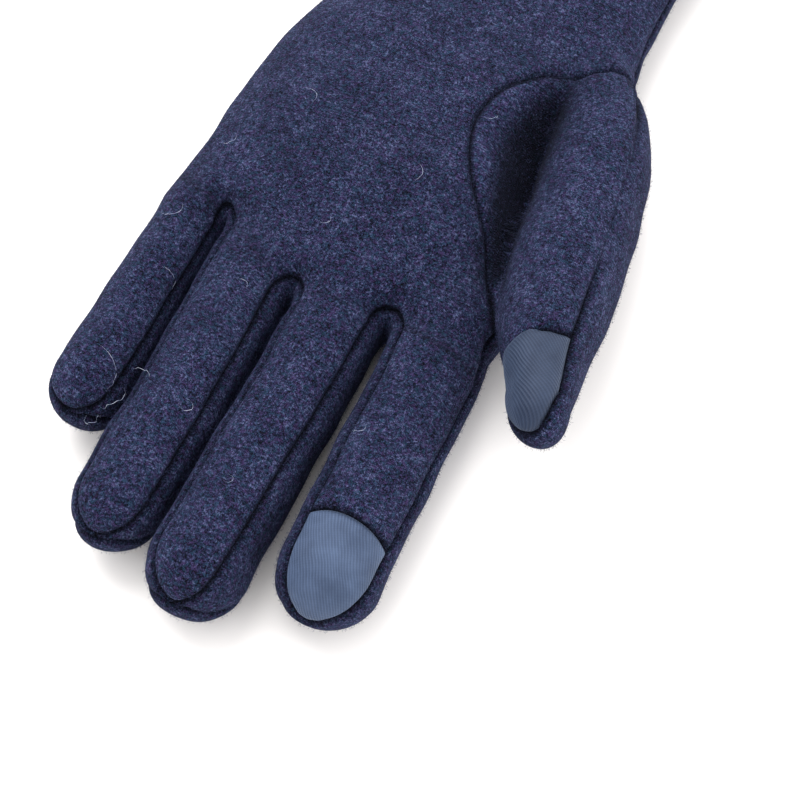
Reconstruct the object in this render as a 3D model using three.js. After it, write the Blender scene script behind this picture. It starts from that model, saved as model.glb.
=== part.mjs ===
// A left-hand glove of brushed fleece jersey with touch patches on its index finger and thumb. It
// lies palm up: +X points to the thumb side, the fingers point along -Y, the cuff opens along +Y and
// +Z points up from the surface that the glove rests on. Millimetres.
//
// One smooth skin describes the filled-out glove: a hand body, four fingers and a thumb, each a run
// of rounded sections along Y, blended where they join, with a valley scooped out beside the thumb.
// Every piece of cloth is a net of rays that leave the middle of the hand or of a finger, or stand
// square to the skin where points close to it are given. A ray meets the outer face of the cloth on
// the skin and the inner face one wall further in, so pieces meet edge to edge along a seam.

import * as THREE from 'three';

// Cloth
const wall = 1.6; // brushed fleece jersey, one layer
const hemWall = 3; // the turned hem of the cuff
const hemLength = 15;
const seamGap = 0.34; // between the edges of neighbouring pieces
const sharpestCorner = 0.6; // cosine of half the turn up to which a corner keeps its full gap
const deepestWall = 1.5; // walls between the two faces of the cloth, at most, where it is creased

// Lengths along the hand: y = 0 is the crotch line beside the middle finger
const cuffY = 156;
const hemStart = cuffY - hemLength - 0.5; // just before the row of faces where the hem begins
const originShift = { x: -5.6, y: -38.7 }; // puts the origin under the middle of the glove

// Sections of the hand body from the finger roots to the cuff
const handSections = [
  { y: -6, x: -4.8, z: 10, halfWidth: 38.8, halfHeight: 10 },
  { y: 10, x: -5.4, z: 11, halfWidth: 40.4, halfHeight: 11.6 },
  { y: 30, x: -5.9, z: 12.8, halfWidth: 39.9, halfHeight: 13.8 },
  { y: 55, x: -5.2, z: 13.2, halfWidth: 39.4, halfHeight: 14.2 },
  { y: 80, x: -2.4, z: 12.4, halfWidth: 38, halfHeight: 13.4 },
  { y: 104, x: -1.2, z: 12, halfWidth: 36.6, halfHeight: 12.8 },
  { y: 130, x: -1, z: 12.2, halfWidth: 38, halfHeight: 13 },
  { y: 160, x: -1, z: 12.4, halfWidth: 40, halfHeight: 13.4 },
];

// Where the hand body ends towards the fingers, across the hand
const knuckleLine = [
  { x: -50, y: 12 },
  { x: -32, y: 14 },
  { x: -10, y: 4.5 },
  { x: 13, y: 4.8 },
  { x: 40, y: 10 },
];

// Fingers: the axis from root to tip, the section, and where each side leaves the hand. Seam angles
// are degrees above the finger's widest line, at the root and at the tip, on the side towards the
// thumb and on the side towards the little finger, where the palm's edge and the back's edge run.
const fingers = [
  {
    name: 'little', rootX: -40.6, capX: -38.5, rootY: 8, capY: -40.5, capZ: 11.5, tipLength: 9.2,
    rootWidth: 7.4, tipWidth: 8.2, halfHeight: 9.9, tipTurn: 68, outerY: 14,
    thumbPalm: [32, 36], thumbBack: [-38, -26], littlePalm: [20, 28], littleBack: [20, 28],
  },
  {
    name: 'ring', rootX: -21.1, capX: -19, rootY: 2, capY: -61.5, capZ: 12, tipLength: 10.6,
    rootWidth: 10.5, tipWidth: 9.3, halfHeight: 10.2, tipTurn: 74,
    thumbPalm: [41, 38], thumbBack: [-38, -26], littlePalm: [42, 42], littleBack: [-38, -26],
  },
  {
    name: 'middle', rootX: 1.2, capX: 2.4, rootY: -4, capY: -67.5, capZ: 12.5, tipLength: 11.2,
    rootWidth: 10.3, tipWidth: 10.4, halfHeight: 10.6, tipTurn: 76,
    thumbPalm: [38, 50], thumbBack: [-38, -24], littlePalm: [42, 44], littleBack: [-38, -26],
  },
  {
    name: 'index', rootX: 25, capX: 26.9, rootY: -1, capY: -58, capZ: 12.5, tipLength: 11.4,
    rootWidth: 11, tipWidth: 10.9, halfHeight: 10.6, tipTurn: 93, outerY: -7,
    thumbPalm: [18, 26], thumbBack: [18, 26], littlePalm: [42, 44], littleBack: [-38, -26],
  },
];
const fingerZ = 9.8; // height of the finger axes at the roots; the tips curl up to capZ
const thumbTipTurn = 84; // degrees from the pad's middle to the seam across the thumb's tip

// Crotches between the fingers
const crotches = [
  { name: 'fourchette_little_ring', x: -32.2, y: 8.4 },
  { name: 'fourchette_ring_middle', x: -9.8, y: -3 },
  { name: 'fourchette_middle_index', x: 12.8, y: -1.6 },
];
const webDepth = 1.8; // how far past the crotch a finger's own sides begin
const webCore = { behind: 7, above: 0.7 }; // where a web's rays start, behind the crotch
const webTurn = 55; // degrees above and below level at the edges of a web

// Thumb sections from inside the wrist to the middle of the rounded tip
const thumbSections = [
  { y: 86, x: 26, z: 13, halfWidth: 8, halfHeight: 8 },
  { y: 72, x: 33.6, z: 14.6, halfWidth: 11, halfHeight: 10.6 },
  { y: 58, x: 38.2, z: 16.4, halfWidth: 12.2, halfHeight: 12 },
  { y: 44, x: 40.9, z: 18, halfWidth: 12.6, halfHeight: 12.4 },
  { y: 30, x: 42.8, z: 19.6, halfWidth: 12.8, halfHeight: 12.6 },
  { y: 15, x: 45, z: 21.6, halfWidth: 12.2, halfHeight: 12 },
  { y: 2, x: 47.2, z: 24, halfWidth: 10.2, halfHeight: 10.6 },
  { y: -12, x: 51.3, z: 26.6, halfWidth: 6.9, halfHeight: 8.6 },
];
const thumbTipLength = 9.6;
const thumbLean = 0.32; // how far the tip runs on sideways, for each millimetre of its length

// The valley between palm and thumb, scooped out of the hand: x is its deepest line, z its brim
const valleySections = [
  { y: 21, x: 32.3, z: 24, halfWidth: 5, halfHeight: 4.5 },
  { y: 30, x: 31, z: 26, halfWidth: 8.5, halfHeight: 10 },
  { y: 40, x: 30.5, z: 27, halfWidth: 12, halfHeight: 14 },
  { y: 50, x: 30, z: 27.5, halfWidth: 15, halfHeight: 15 },
  { y: 60, x: 28.5, z: 27.5, halfWidth: 12.5, halfHeight: 13 },
  { y: 68, x: 27, z: 27, halfWidth: 8, halfHeight: 8 },
  { y: 76, x: 26, z: 26.5, halfWidth: 3.5, halfHeight: 2.5 },
];
const valleyEnd = 4; // length of its rounded ends
const valleyPower = 1.25; // its sides are nearly straight slopes
const valleyBlend = 4;
const valleyCrease = 1.5; // blend of hand and thumb inside the valley
const creaseRoom = 6; // how far from the valley the blend is the thumb's own again

const thumbSeams = { inner: 214, outer: 56 }; // degrees round the thumb's axis from +X
const thumbStart = 0.5; // where the thumb is a plain tube, along from its opening
const patchStart = { index: 0.86, thumb: 0.86 }; // along the straight part, root to tip
const patchBulge = 1.6; // of the seam that crosses the index finger
const patchReach = { share: 0.26, power: 4 }; // how far the thumb's patch reaches up at its crotch
const shallowValley = { none: 2.6, fade: 5 }; // depths between which cloth starts to follow it

// The seam round the thumb's opening, from the thumb's crotch to the wrist, over the palm and under
// the thumb: points close to the skin
const palmThumbSeam = [
  { x: 35.5, y: 4.9, z: 16 },
  { x: 33, y: 8.2, z: 18.8 },
  { x: 29.8, y: 14, z: 20.2 },
  { x: 25.8, y: 22.5, z: 21.6 },
  { x: 19.5, y: 30.3, z: 23.8 },
  { x: 14, y: 39, z: 25.8 },
  { x: 11, y: 49, z: 26.7 },
  { x: 12.3, y: 59, z: 26.4 },
  { x: 18, y: 67.5, z: 25.2 },
  { x: 27, y: 74, z: 24 },
  { x: 37.6, y: 80.7, z: 17 },
];
const backThumbSeam = [
  { x: 35.5, y: 4.9, z: 16 },
  { x: 37.6, y: 7.5, z: 13 },
  { x: 37.6, y: 13.5, z: 10.6 },
  { x: 35.5, y: 22, z: 8.8 },
  { x: 33.2, y: 31, z: 7.7 },
  { x: 32.2, y: 40, z: 7.2 },
  { x: 33, y: 49, z: 6.4 },
  { x: 36, y: 57.5, z: 4.8 },
  { x: 39.6, y: 66, z: 5.2 },
  { x: 42.3, y: 74, z: 10.5 },
  { x: 37.6, y: 80.7, z: 17 },
];

// Side seams of the hand, and the rows of cloth between the thumb's crotch and the wrist
const sideSeamLift = 20; // degrees above the widest line
const sideInset = 0.45; // where the outermost rays start, as a share of the half height
const edgeFan = 16; // how soon the rays turn upright away from the side seams
const openingFan = 60; // the same beside the thumb's opening
const crotchRowY = 26; // of the side seam, level with the thumb's crotch
const wristRowY = 82; // of the side seam, where the thumb's opening ends

// Blends between the parts of the skin
const fingerBlend = 7;
const outerBlend = 1; // the same beside the hand's outer edge, and where the fingers run out in it
const blendFade = { side: [-44, -37], tail: [14, 34] }; // x and y between which the two change over
const thumbBlend = 6;
const handPower = 2.4; // 2 is an oval section, more is squarer
const fingerPower = 2.15;
const fingerTail = { length: 42, taper: 0.16 }; // how a finger runs out inside the hand
const knuckleRounding = 4;
const tipSquareness = 2.1;
const tipTaperEnd = 0.94; // how much of a panel's spread is gone at the seam across a tip
const tipGap = { middle: 7, gusset: 12 }; // degrees between the palm's edge and the back's there
const tipwardReach = { finger: 5, thumb: 8 }; // how far before the tip its direction is taken
const tipCornerTurn = 0.9; // where the seam across a tip begins, as a share of its full turn

// Faces of the nets
const net = {
  fingerAcross: 6, fourchetteAcross: 3, crotchAcross: 4, fingerAlong: 5, patchAlong: 1, tipAlong: 4,
  knuckleAlong: 4, thumbOpening: 10, wristAlong: 5, thumbRoot: 6, thumbAlong: 3,
};

const skinRayDepth = 3.5; // where a ray square to the skin starts
const openingCrowding = 1.25; // how much closer the faces lie near the thumb's crotch
const rayStep = 0.4; // finer than the slits between the fingers
const rayHalvings = 16; // of that step, down to where a ray meets the skin
const leastRowStep = 0.6; // between neighbouring rays of a row across the hand, as seen from above
const nearestSteps = 6; // from a point to the skin's nearest spot
const floorRoom = 0.01; // how close to the floor a point is put on it
const offCentre = 1e-4; // keeps the slope of a section defined on its centre line

const degrees = Math.PI / 180;
const up = new THREE.Vector3(0, 0, 1);

const mix = (a, b, t) => a + (b - a) * t;
const smooth = (value, low, high) => {
  const t = Math.min(Math.max((value - low) / (high - low), 0), 1);
  return t * t * (3 - 2 * t);
};
const steps = (count) => Array.from({ length: count + 1 }, (_, i) => i / count);
const between = (from, to, count) => steps(count).map((t) => mix(from, to, t));

// Smooth curve through the rows of a table, read at a value of its first-named column
function readTable(rows, key, value) {
  const rising = rows[rows.length - 1][key] > rows[0][key];
  let i = 0;
  while (i < rows.length - 2 && (rows[i + 1][key] < value) === rising) i += 1;
  const a = rows[i];
  const b = rows[i + 1];
  const before = rows[i - 1] ?? a;
  const after = rows[i + 2] ?? b;
  const t = Math.min(Math.max((value - a[key]) / (b[key] - a[key]), 0), 1);
  const span = b[key] - a[key];
  const result = {};
  for (const name of Object.keys(a)) {
    const slopeA = ((b[name] - before[name]) / (b[key] - before[key])) * span;
    const slopeB = ((after[name] - a[name]) / (after[key] - a[key])) * span;
    const rise = b[name] - a[name];
    result[name] =
      a[name] + t * (slopeA + t * (3 * rise - 2 * slopeA - slopeB + t * (slopeA + slopeB - 2 * rise)));
  }
  return result;
}

// Distance to a rounded section, negative inside; beyond is how far past a round end the point lies
function sectionDistance(across, rise, beyond, section, endLength, power) {
  const a = Math.abs(across + offCentre) / section.halfWidth;
  const b = Math.abs(rise) / section.halfHeight;
  const c = beyond / endLength;
  const oval = (a ** power + b ** power) ** (1 / power);
  const size = Math.hypot(oval, c);
  const slopeA = (oval * (a / oval) ** (power - 1)) / section.halfWidth / size;
  const slopeB = (oval * (b / oval) ** (power - 1)) / section.halfHeight / size;
  const slopeC = c / endLength / size;
  return (size - 1) / Math.hypot(slopeA, slopeB, slopeC);
}

function smoothMin(a, b, width) {
  const near = Math.max(width - Math.abs(a - b), 0) / width;
  return Math.min(a, b) - (near * near * width) / 4;
}

// Centre of a finger's section at y
function fingerAxis(finger, y) {
  const t = (finger.rootY - y) / (finger.rootY - finger.capY);
  const curl = Math.max(t, 0) ** 2;
  return new THREE.Vector3(mix(finger.rootX, finger.capX, t), y, mix(fingerZ, finger.capZ, curl));
}

function fingerDistance(finger, p) {
  const y = Math.max(p.y, finger.capY);
  const axis = fingerAxis(finger, y);
  const tipShare = Math.max((finger.rootY - y) / (finger.rootY - finger.capY), 0);
  const tail = Math.min(Math.max(y - finger.rootY, 0), fingerTail.length);
  const beyond = Math.max(finger.capY - p.y, p.y - finger.rootY - fingerTail.length, 0);
  const section = {
    halfWidth: mix(finger.rootWidth, finger.tipWidth, tipShare) - fingerTail.taper * tail,
    halfHeight: finger.halfHeight - fingerTail.taper * tail,
  };
  return sectionDistance(p.x - axis.x, p.z - axis.z, beyond, section, finger.tipLength, fingerPower);
}

function handDistance(p) {
  const section = readTable(handSections, 'y', p.y);
  const front = readTable(knuckleLine, 'x', p.x).y;
  const beyond = Math.max(front - p.y, 0);
  return sectionDistance(p.x - section.x, p.z - section.z, beyond, section, knuckleRounding, handPower);
}

const thumbCap = thumbSections[thumbSections.length - 1];
const thumbRoot = thumbSections[0];

function thumbDistance(p) {
  const section = readTable(thumbSections, 'y', p.y);
  const beyond = Math.max(thumbCap.y - p.y, p.y - thumbRoot.y, 0);
  const x = section.x + thumbLean * Math.max(thumbCap.y - p.y, 0);
  return sectionDistance(p.x - x, p.z - section.z, beyond, section, thumbTipLength, 2);
}

function valleyDistance(p) {
  const section = readTable(valleySections, 'y', p.y);
  const ends = [valleySections[0].y - p.y, p.y - valleySections[valleySections.length - 1].y];
  return sectionDistance(p.x - section.x, p.z - section.z, Math.max(...ends, 0), section, valleyEnd,
    valleyPower);
}

function skinDistance(p) {
  const fingerSkin = Math.min(...fingers.map((finger) => fingerDistance(finger, p)));
  const kept = smooth(p.x, ...blendFade.side) * (1 - smooth(p.y, ...blendFade.tail));
  const hand = smoothMin(fingerSkin, handDistance(p), mix(outerBlend, fingerBlend, kept));
  const valley = valleyDistance(p);
  const scooped = -smoothMin(-hand, valley, valleyBlend);
  const blend = mix(valleyCrease, thumbBlend, smooth(valley, 0, creaseRoom));
  return smoothMin(scooped, thumbDistance(p), blend);
}

function skinSlope(p) {
  const reach = 0.05;
  const rise = (x, y, z) => {
    const offset = new THREE.Vector3(x, y, z).multiplyScalar(reach);
    return (skinDistance(p.clone().add(offset)) - skinDistance(p.clone().sub(offset))) / (2 * reach);
  };
  return new THREE.Vector3(rise(1, 0, 0), rise(0, 1, 0), rise(0, 0, 1));
}

// Where a ray leaves the skin, or the level that lies depth inside it; the surface under the glove
// flattens both
function meetSkin(ray, depth) {
  const point = (t) => ray.core.clone().addScaledVector(ray.aim, t);
  const level = (t) => {
    const p = point(t);
    return Math.max(skinDistance(p) + depth, depth - p.z);
  };
  let far = rayStep;
  while (level(far) < 0) far += rayStep;
  let near = far - rayStep;
  for (let i = 0; i < rayHalvings; i += 1) {
    const middle = (near + far) / 2;
    if (level(middle) < 0) near = middle;
    else far = middle;
  }
  const p = point(near);
  if (p.z < depth + floorRoom) p.z = depth;
  return p;
}

function makeRay(core, aim) {
  return { core, aim: aim.clone().normalize() };
}

function blendRays(a, b, t) {
  return makeRay(a.core.clone().lerp(b.core, t), a.aim.clone().lerp(b.aim, t));
}

// A ray at t from 0 to 1 across a net, on the parabola through the rays at its two edges and middle
function fanRays(first, middle, last, t) {
  const weights = [(1 - t) * (1 - 2 * t), 4 * t * (1 - t), t * (2 * t - 1)];
  const sum = (part) => {
    const total = new THREE.Vector3();
    [first, middle, last].forEach((ray, i) => total.addScaledVector(ray[part], weights[i]));
    return total;
  };
  return makeRay(sum('core'), sum('aim'));
}

// Share of a panel's spread that is left at t along the turn over a tip, which rounds its corners
const tipTaper = (t) => (1 - (tipTaperEnd * t) ** tipSquareness) ** (1 / tipSquareness);

// Degrees between the palm's edge and the back's edge at the tip, where the fourchettes run out
function tipSlack(finger, side) {
  const gusseted = {
    1: finger.thumbPalm[0] !== finger.thumbBack[0],
    '-1': finger.littlePalm[0] !== finger.littleBack[0],
  };
  if (side === 0) return tipGap.middle;
  return gusseted[side] ? tipGap.gusset : 0;
}

// A ray of a finger: side is 1 towards the thumb, -1 towards the little finger, 0 in the middle;
// face is 1 on the palm, -1 on the back; along runs from 0 at the root to 1 at the last full section
// and 2 at the seam across the tip
function fingerRay(finger, side, face, along) {
  const straight = Math.min(along, 1);
  const turn = Math.max(along - 1, 0);
  const place = fingers.indexOf(finger);
  const thumbSideY = place in crotches ? crotches[place].y - webDepth : finger.outerY;
  const littleSideY = place > 0 ? crotches[place - 1].y - webDepth : finger.outerY;
  const rootY = mix(littleSideY, thumbSideY, (side + 1) / 2);
  const core = fingerAxis(finger, mix(rootY, finger.capY, straight));
  const beforeTip = fingerAxis(finger, finger.capY + tipwardReach.finger);
  const tipward = fingerAxis(finger, finger.capY).sub(beforeTip).normalize();
  if (side === 0) {
    const halfTurn = face > 0 ? finger.tipTurn : 180 - finger.tipTurn - tipSlack(finger, 0);
    const angle = turn * halfTurn * degrees;
    const aim = up.clone().multiplyScalar(face * Math.cos(angle));
    return makeRay(core, aim.addScaledVector(tipward, Math.sin(angle)));
  }
  const palmAngles = side > 0 ? finger.thumbPalm : finger.littlePalm;
  const backAngles = side > 0 ? finger.thumbBack : finger.littleBack;
  const palmAim = (t) => {
    const spread = (90 - mix(...palmAngles, straight)) * tipTaper(t) * degrees;
    const angle = t * tipCornerTurn * finger.tipTurn * degrees;
    const aim = up.clone().multiplyScalar(Math.cos(angle));
    aim.addScaledVector(tipward, Math.sin(angle)).multiplyScalar(Math.cos(spread));
    return aim.add(new THREE.Vector3(side * Math.sin(spread), 0, 0));
  };
  if (face > 0 || palmAngles[0] === backAngles[0]) return makeRay(core, palmAim(turn));
  const angle = mix(...backAngles, straight) * degrees;
  const rootAim = new THREE.Vector3(side * Math.cos(angle), 0, Math.sin(angle));
  const tipAim = palmAim(1).addScaledVector(up, -Math.tan(tipSlack(finger, side) * degrees));
  return makeRay(core, rootAim.lerp(tipAim.normalize(), turn));
}

// Rows of rays across the palm or the back of one finger, from its little side to its thumb side
function fingerNet(finger, face, stations) {
  return stations.map((along) => {
    const middle = fingerRay(finger, 0, face, along);
    if (finger.name === 'index' && face > 0 && along === patchStart.index) middle.core.y += patchBulge;
    const first = fingerRay(finger, -1, face, along);
    const last = fingerRay(finger, 1, face, along);
    return steps(net.fingerAcross).map((t) => fanRays(first, middle, last, t));
  });
}

const openingShares = steps(net.thumbOpening).map((t) => t ** openingCrowding);

const shaftStations = between(0, patchStart.index, net.fingerAlong);
const tipStations = [
  ...between(patchStart.index, 1, net.patchAlong),
  ...between(1, 2, net.tipAlong).slice(1),
];
const fingerStations = [...shaftStations, ...tipStations.slice(1)];

// The edge of the web between two fingers: t runs from -1 on the little side to 1 on the thumb
// side, and face from 1 at the palm's edge to -1 at the back's
function webRay(index, face, t) {
  const crotch = crotches[index];
  const angle = face * webTurn * degrees;
  const middle = makeRay(
    new THREE.Vector3(crotch.x, crotch.y + webCore.behind, fingerZ + webCore.above),
    new THREE.Vector3(0, -Math.cos(angle), Math.sin(angle)),
  );
  const first = fingerRay(fingers[index], 1, face, 0);
  const last = fingerRay(fingers[index + 1], -1, face, 0);
  return fanRays(first, middle, last, (t + 1) / 2);
}

// The row of rays across all four finger roots and the webs between them
function rootRow(face) {
  return fingers.flatMap((finger, index) => {
    const row = fingerNet(finger, face, [0])[0];
    if (index === crotches.length) return row;
    const web = between(-1, 1, net.crotchAcross).slice(1, -1);
    return [...row, ...web.map((t) => webRay(index, face, t))];
  });
}

// The ray square to the skin that passes through the skin's nearest spot to a point
function skinRay(point) {
  const p = point.clone();
  let slope = skinSlope(p);
  for (let i = 0; i < nearestSteps; i += 1) {
    p.addScaledVector(slope, -skinDistance(p) / slope.lengthSq());
    slope = skinSlope(p);
  }
  const ray = makeRay(p, slope);
  ray.core.addScaledVector(ray.aim, -skinRayDepth);
  return ray;
}

// The same on the way from one ray's spot on the skin to another's
function skinRayBetween(a, b, t) {
  return skinRay(meetSkin(a, 0).lerp(meetSkin(b, 0), t));
}

function seamRay(table, t) {
  const rows = table.map((row, i) => ({ step: i / (table.length - 1), ...row }));
  const { x, y, z } = readTable(rows, 'step', t);
  return skinRay(new THREE.Vector3(x, y, z));
}

// A ray to the side seam of the hand, side 1 towards the thumb and -1 towards the little finger
function sideRay(side, y) {
  const section = readTable(handSections, 'y', y);
  const reach = section.halfWidth - sideInset * section.halfHeight;
  const angle = sideSeamLift * degrees;
  return makeRay(
    new THREE.Vector3(section.x + side * reach, y, section.z),
    new THREE.Vector3(side * Math.cos(angle), 0, Math.sin(angle)),
  );
}

// One row of rays across the palm or the back, between its two edge rays; shares say how far across
// each ray stands
function handRow(first, last, face, shares, lastFan) {
  const firstEnd = meetSkin(first, 0);
  const lastEnd = meetSkin(last, 0);
  const faceAim = up.clone().multiplyScalar(face);
  return shares.map((t) => {
    const core = firstEnd.clone().lerp(lastEnd, t);
    core.z = readTable(handSections, 'y', core.y).z;
    const ray = blendRays(makeRay(core, faceAim), first, (1 - t) ** edgeFan);
    return blendRays(ray, last, t ** lastFan);
  });
}

// Rows from the finger roots to the cuff; the thumb-side edge follows the thumb's opening
function handNet(face) {
  const thumbSeam = face > 0 ? palmThumbSeam : backThumbSeam;
  const roots = rootRow(face);
  const places = roots.map((ray) => meetSkin(ray, 0).x);
  places.forEach((x, i) => {
    if (i > 0) places[i] = Math.max(x, places[i - 1] + leastRowStep);
  });
  const shares = places.map((x) => (x - places[0]) / (places[places.length - 1] - places[0]));
  const palmRows = openingShares.map((t) => {
    const first = sideRay(-1, mix(crotchRowY, wristRowY, t));
    return handRow(first, seamRay(thumbSeam, t), face, shares, openingFan);
  });
  const knuckleRows = between(0, 1, net.knuckleAlong).slice(1, -1).map((t) =>
    roots.map((ray, i) => skinRayBetween(ray, palmRows[0][i], t)));
  const wristYs = between(wristRowY, cuffY - hemLength, net.wristAlong - 1).slice(1);
  const wristRows = [...wristYs, cuffY].map((y) =>
    handRow(sideRay(-1, y), sideRay(1, y), face, shares, edgeFan));
  return [roots, ...knuckleRows, ...palmRows, ...wristRows];
}

// Rays of the gusset between two fingers, from tip to tip through the crotch
function fourchetteNet(index) {
  const left = fingers[index];
  const right = fingers[index + 1];
  const across = steps(net.fourchetteAcross);
  const strip = (top, bottom) => across.map((t) => {
    const middle = blendRays(top, bottom, 0.5);
    return fanRays(top, middle, bottom, t);
  });
  const finger = (which, side) => {
    const tips = fingerNet(which, 1, [2])[0];
    const backs = fingerNet(which, -1, [2])[0];
    const single = which.name === 'little' || which.name === 'index';
    const reach = net.fingerAcross / 2 + (single ? 1 : 0);
    const order = steps(net.fingerAcross).map((_, i) => (side > 0 ? net.fingerAcross - i : i));
    const end = order.slice(1, reach + 1).map((i) => strip(tips[i], backs[i]));
    const rows = fingerStations.map((along) =>
      strip(fingerRay(which, side, 1, along), fingerRay(which, side, -1, along)));
    return [...rows, ...end];
  };
  const web = between(-1, 1, net.crotchAcross).slice(1, -1);
  return [
    ...finger(left, 1).reverse(),
    ...web.map((t) => strip(webRay(index, 1, t), webRay(index, -1, t))),
    ...finger(right, -1),
  ];
}

// A ray of the thumb at an angle round its axis, along as on the fingers
function thumbRay(angle, rootY, face, along) {
  const y = mix(rootY, thumbCap.y, Math.min(along, 1));
  const section = readTable(thumbSections, 'y', y);
  const core = new THREE.Vector3(section.x, y, section.z);
  const before = readTable(thumbSections, 'y', thumbCap.y + tipwardReach.thumb);
  const tipward = new THREE.Vector3(
    thumbCap.x - before.x, -tipwardReach.thumb, thumbCap.z - before.z);
  tipward.normalize();
  const pad = (thumbSeams.inner + thumbSeams.outer) / 2;
  const padAim = new THREE.Vector3(Math.cos(pad * degrees), 0, Math.sin(pad * degrees));
  const crossAim = new THREE.Vector3(padAim.z, 0, -padAim.x);
  const turn = Math.max(along - 1, 0);
  const offset = (angle - pad) * degrees;
  if (offset === 0 || Math.abs(offset) === Math.PI) {
    const halfTurn = (face > 0 ? thumbTipTurn : 180 - thumbTipTurn) * degrees * turn;
    const aim = padAim.multiplyScalar(face * Math.cos(halfTurn));
    return makeRay(core, aim.addScaledVector(tipward, Math.sin(halfTurn)));
  }
  const spread = Math.abs(offset) * tipTaper(turn);
  const halfTurn = turn * tipCornerTurn * thumbTipTurn * degrees;
  const aim = padAim.multiplyScalar(Math.cos(halfTurn)).addScaledVector(tipward, Math.sin(halfTurn));
  aim.multiplyScalar(Math.cos(spread));
  return makeRay(core, aim.addScaledVector(crossAim, -Math.sign(offset) * Math.sin(spread)));
}

const crossingShares = between(0.2, 0.8, 60); // of the way, where it may cross the valley

// A ray at t on the way from one ray's spot on the skin to another's. Where the way crosses the
// valley it sags to the valley's deepest line, which the middle of the stations meets.
function valleyRay(a, b, t) {
  const start = meetSkin(a, 0);
  const end = meetSkin(b, 0);
  const sectionAt = (share) => readTable(valleySections, 'y', mix(start.y, end.y, share));
  const pastAt = (share) => mix(start.x, end.x, share) > sectionAt(share).x;
  const share = crossingShares.find(pastAt) ?? 1;
  const section = sectionAt(share);
  const depth = Math.min(Math.max((section.halfHeight - shallowValley.none) / shallowValley.fade, 0), 1);
  const turn = share < 1 && share > crossingShares[0] ? depth : 0;
  const bent = t < 0.5 ? 2 * t * share : share + (2 * t - 1) * (1 - share);
  const s = mix(t, bent, turn);
  const sag = turn * (s < share ? s / share : (1 - s) / (1 - share));
  const crossing = start.clone().lerp(end, share);
  const bottom = new THREE.Vector3(section.x, crossing.y, section.z - section.halfHeight);
  return skinRay(start.lerp(end, s).addScaledVector(bottom.sub(crossing), sag));
}

// Where a station lies on the thumb, at t across from its crotch side: the patch's edge moves up by
// patchReach there, and the stations beside it make room
function thumbAlong(along, t) {
  const edge = patchStart.thumb - patchReach.share * (1 - t) ** patchReach.power;
  if (along <= thumbStart || along >= 1) return along;
  if (along <= patchStart.thumb) {
    return mix(thumbStart, edge, (along - thumbStart) / (patchStart.thumb - thumbStart));
  }
  return mix(edge, 1, (along - patchStart.thumb) / (1 - patchStart.thumb));
}

// Rows of rays from the thumb's opening to its tip, on its pad side or its outer side
function thumbNet(face, stations) {
  const seam = face > 0 ? palmThumbSeam : backThumbSeam;
  const pad = (thumbSeams.inner + thumbSeams.outer) / 2;
  const middleAngle = face > 0 ? pad : pad - 180;
  const seamRays = openingShares.map((t) => seamRay(seam, t));
  return stations.map((along) =>
    openingShares.map((t, i) => {
      const rootY = meetSkin(seamRays[i], 0).y;
      const angles = [thumbSeams.inner, middleAngle, thumbSeams.outer];
      const place = Math.max(thumbAlong(along, t), thumbStart);
      const rays = angles.map((angle) => thumbRay(angle, rootY, face, place));
      const ray = fanRays(...rays, t);
      if (along >= thumbStart) return ray;
      if (along === 0) return seamRays[i];
      const share = along / thumbStart;
      return face > 0 ? valleyRay(seamRays[i], ray, share) : skinRayBetween(seamRays[i], ray, share);
    }));
}

const thumbShaft = [
  ...between(0, thumbStart, net.thumbRoot),
  ...between(thumbStart, patchStart.thumb, net.thumbAlong).slice(1),
];
const thumbTip = [
  ...between(patchStart.thumb, 1, net.patchAlong),
  ...between(1, 2, net.tipAlong).slice(1),
];

// Moves the points of a rim inwards by half the seam gap
function standBack(points, rim) {
  const shifts = new Map();
  for (const { a, b, face } of rim) {
    const edge = points[b].clone().sub(points[a]).normalize();
    const centre = new THREE.Vector3();
    face.forEach((i) => centre.addScaledVector(points[i], 1 / face.length));
    const inward = centre.sub(points[a]);
    inward.addScaledVector(edge, -inward.dot(edge)).normalize();
    for (const i of [a, b]) shifts.set(i, [...(shifts.get(i) ?? []), inward]);
  }
  for (const [i, [first, second]] of shifts) {
    const shift = first.clone().add(second);
    const stretch = Math.max(shift.length() / 2, sharpestCorner);
    points[i].addScaledVector(shift.normalize(), seamGap / 2 / stretch);
  }
}

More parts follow.
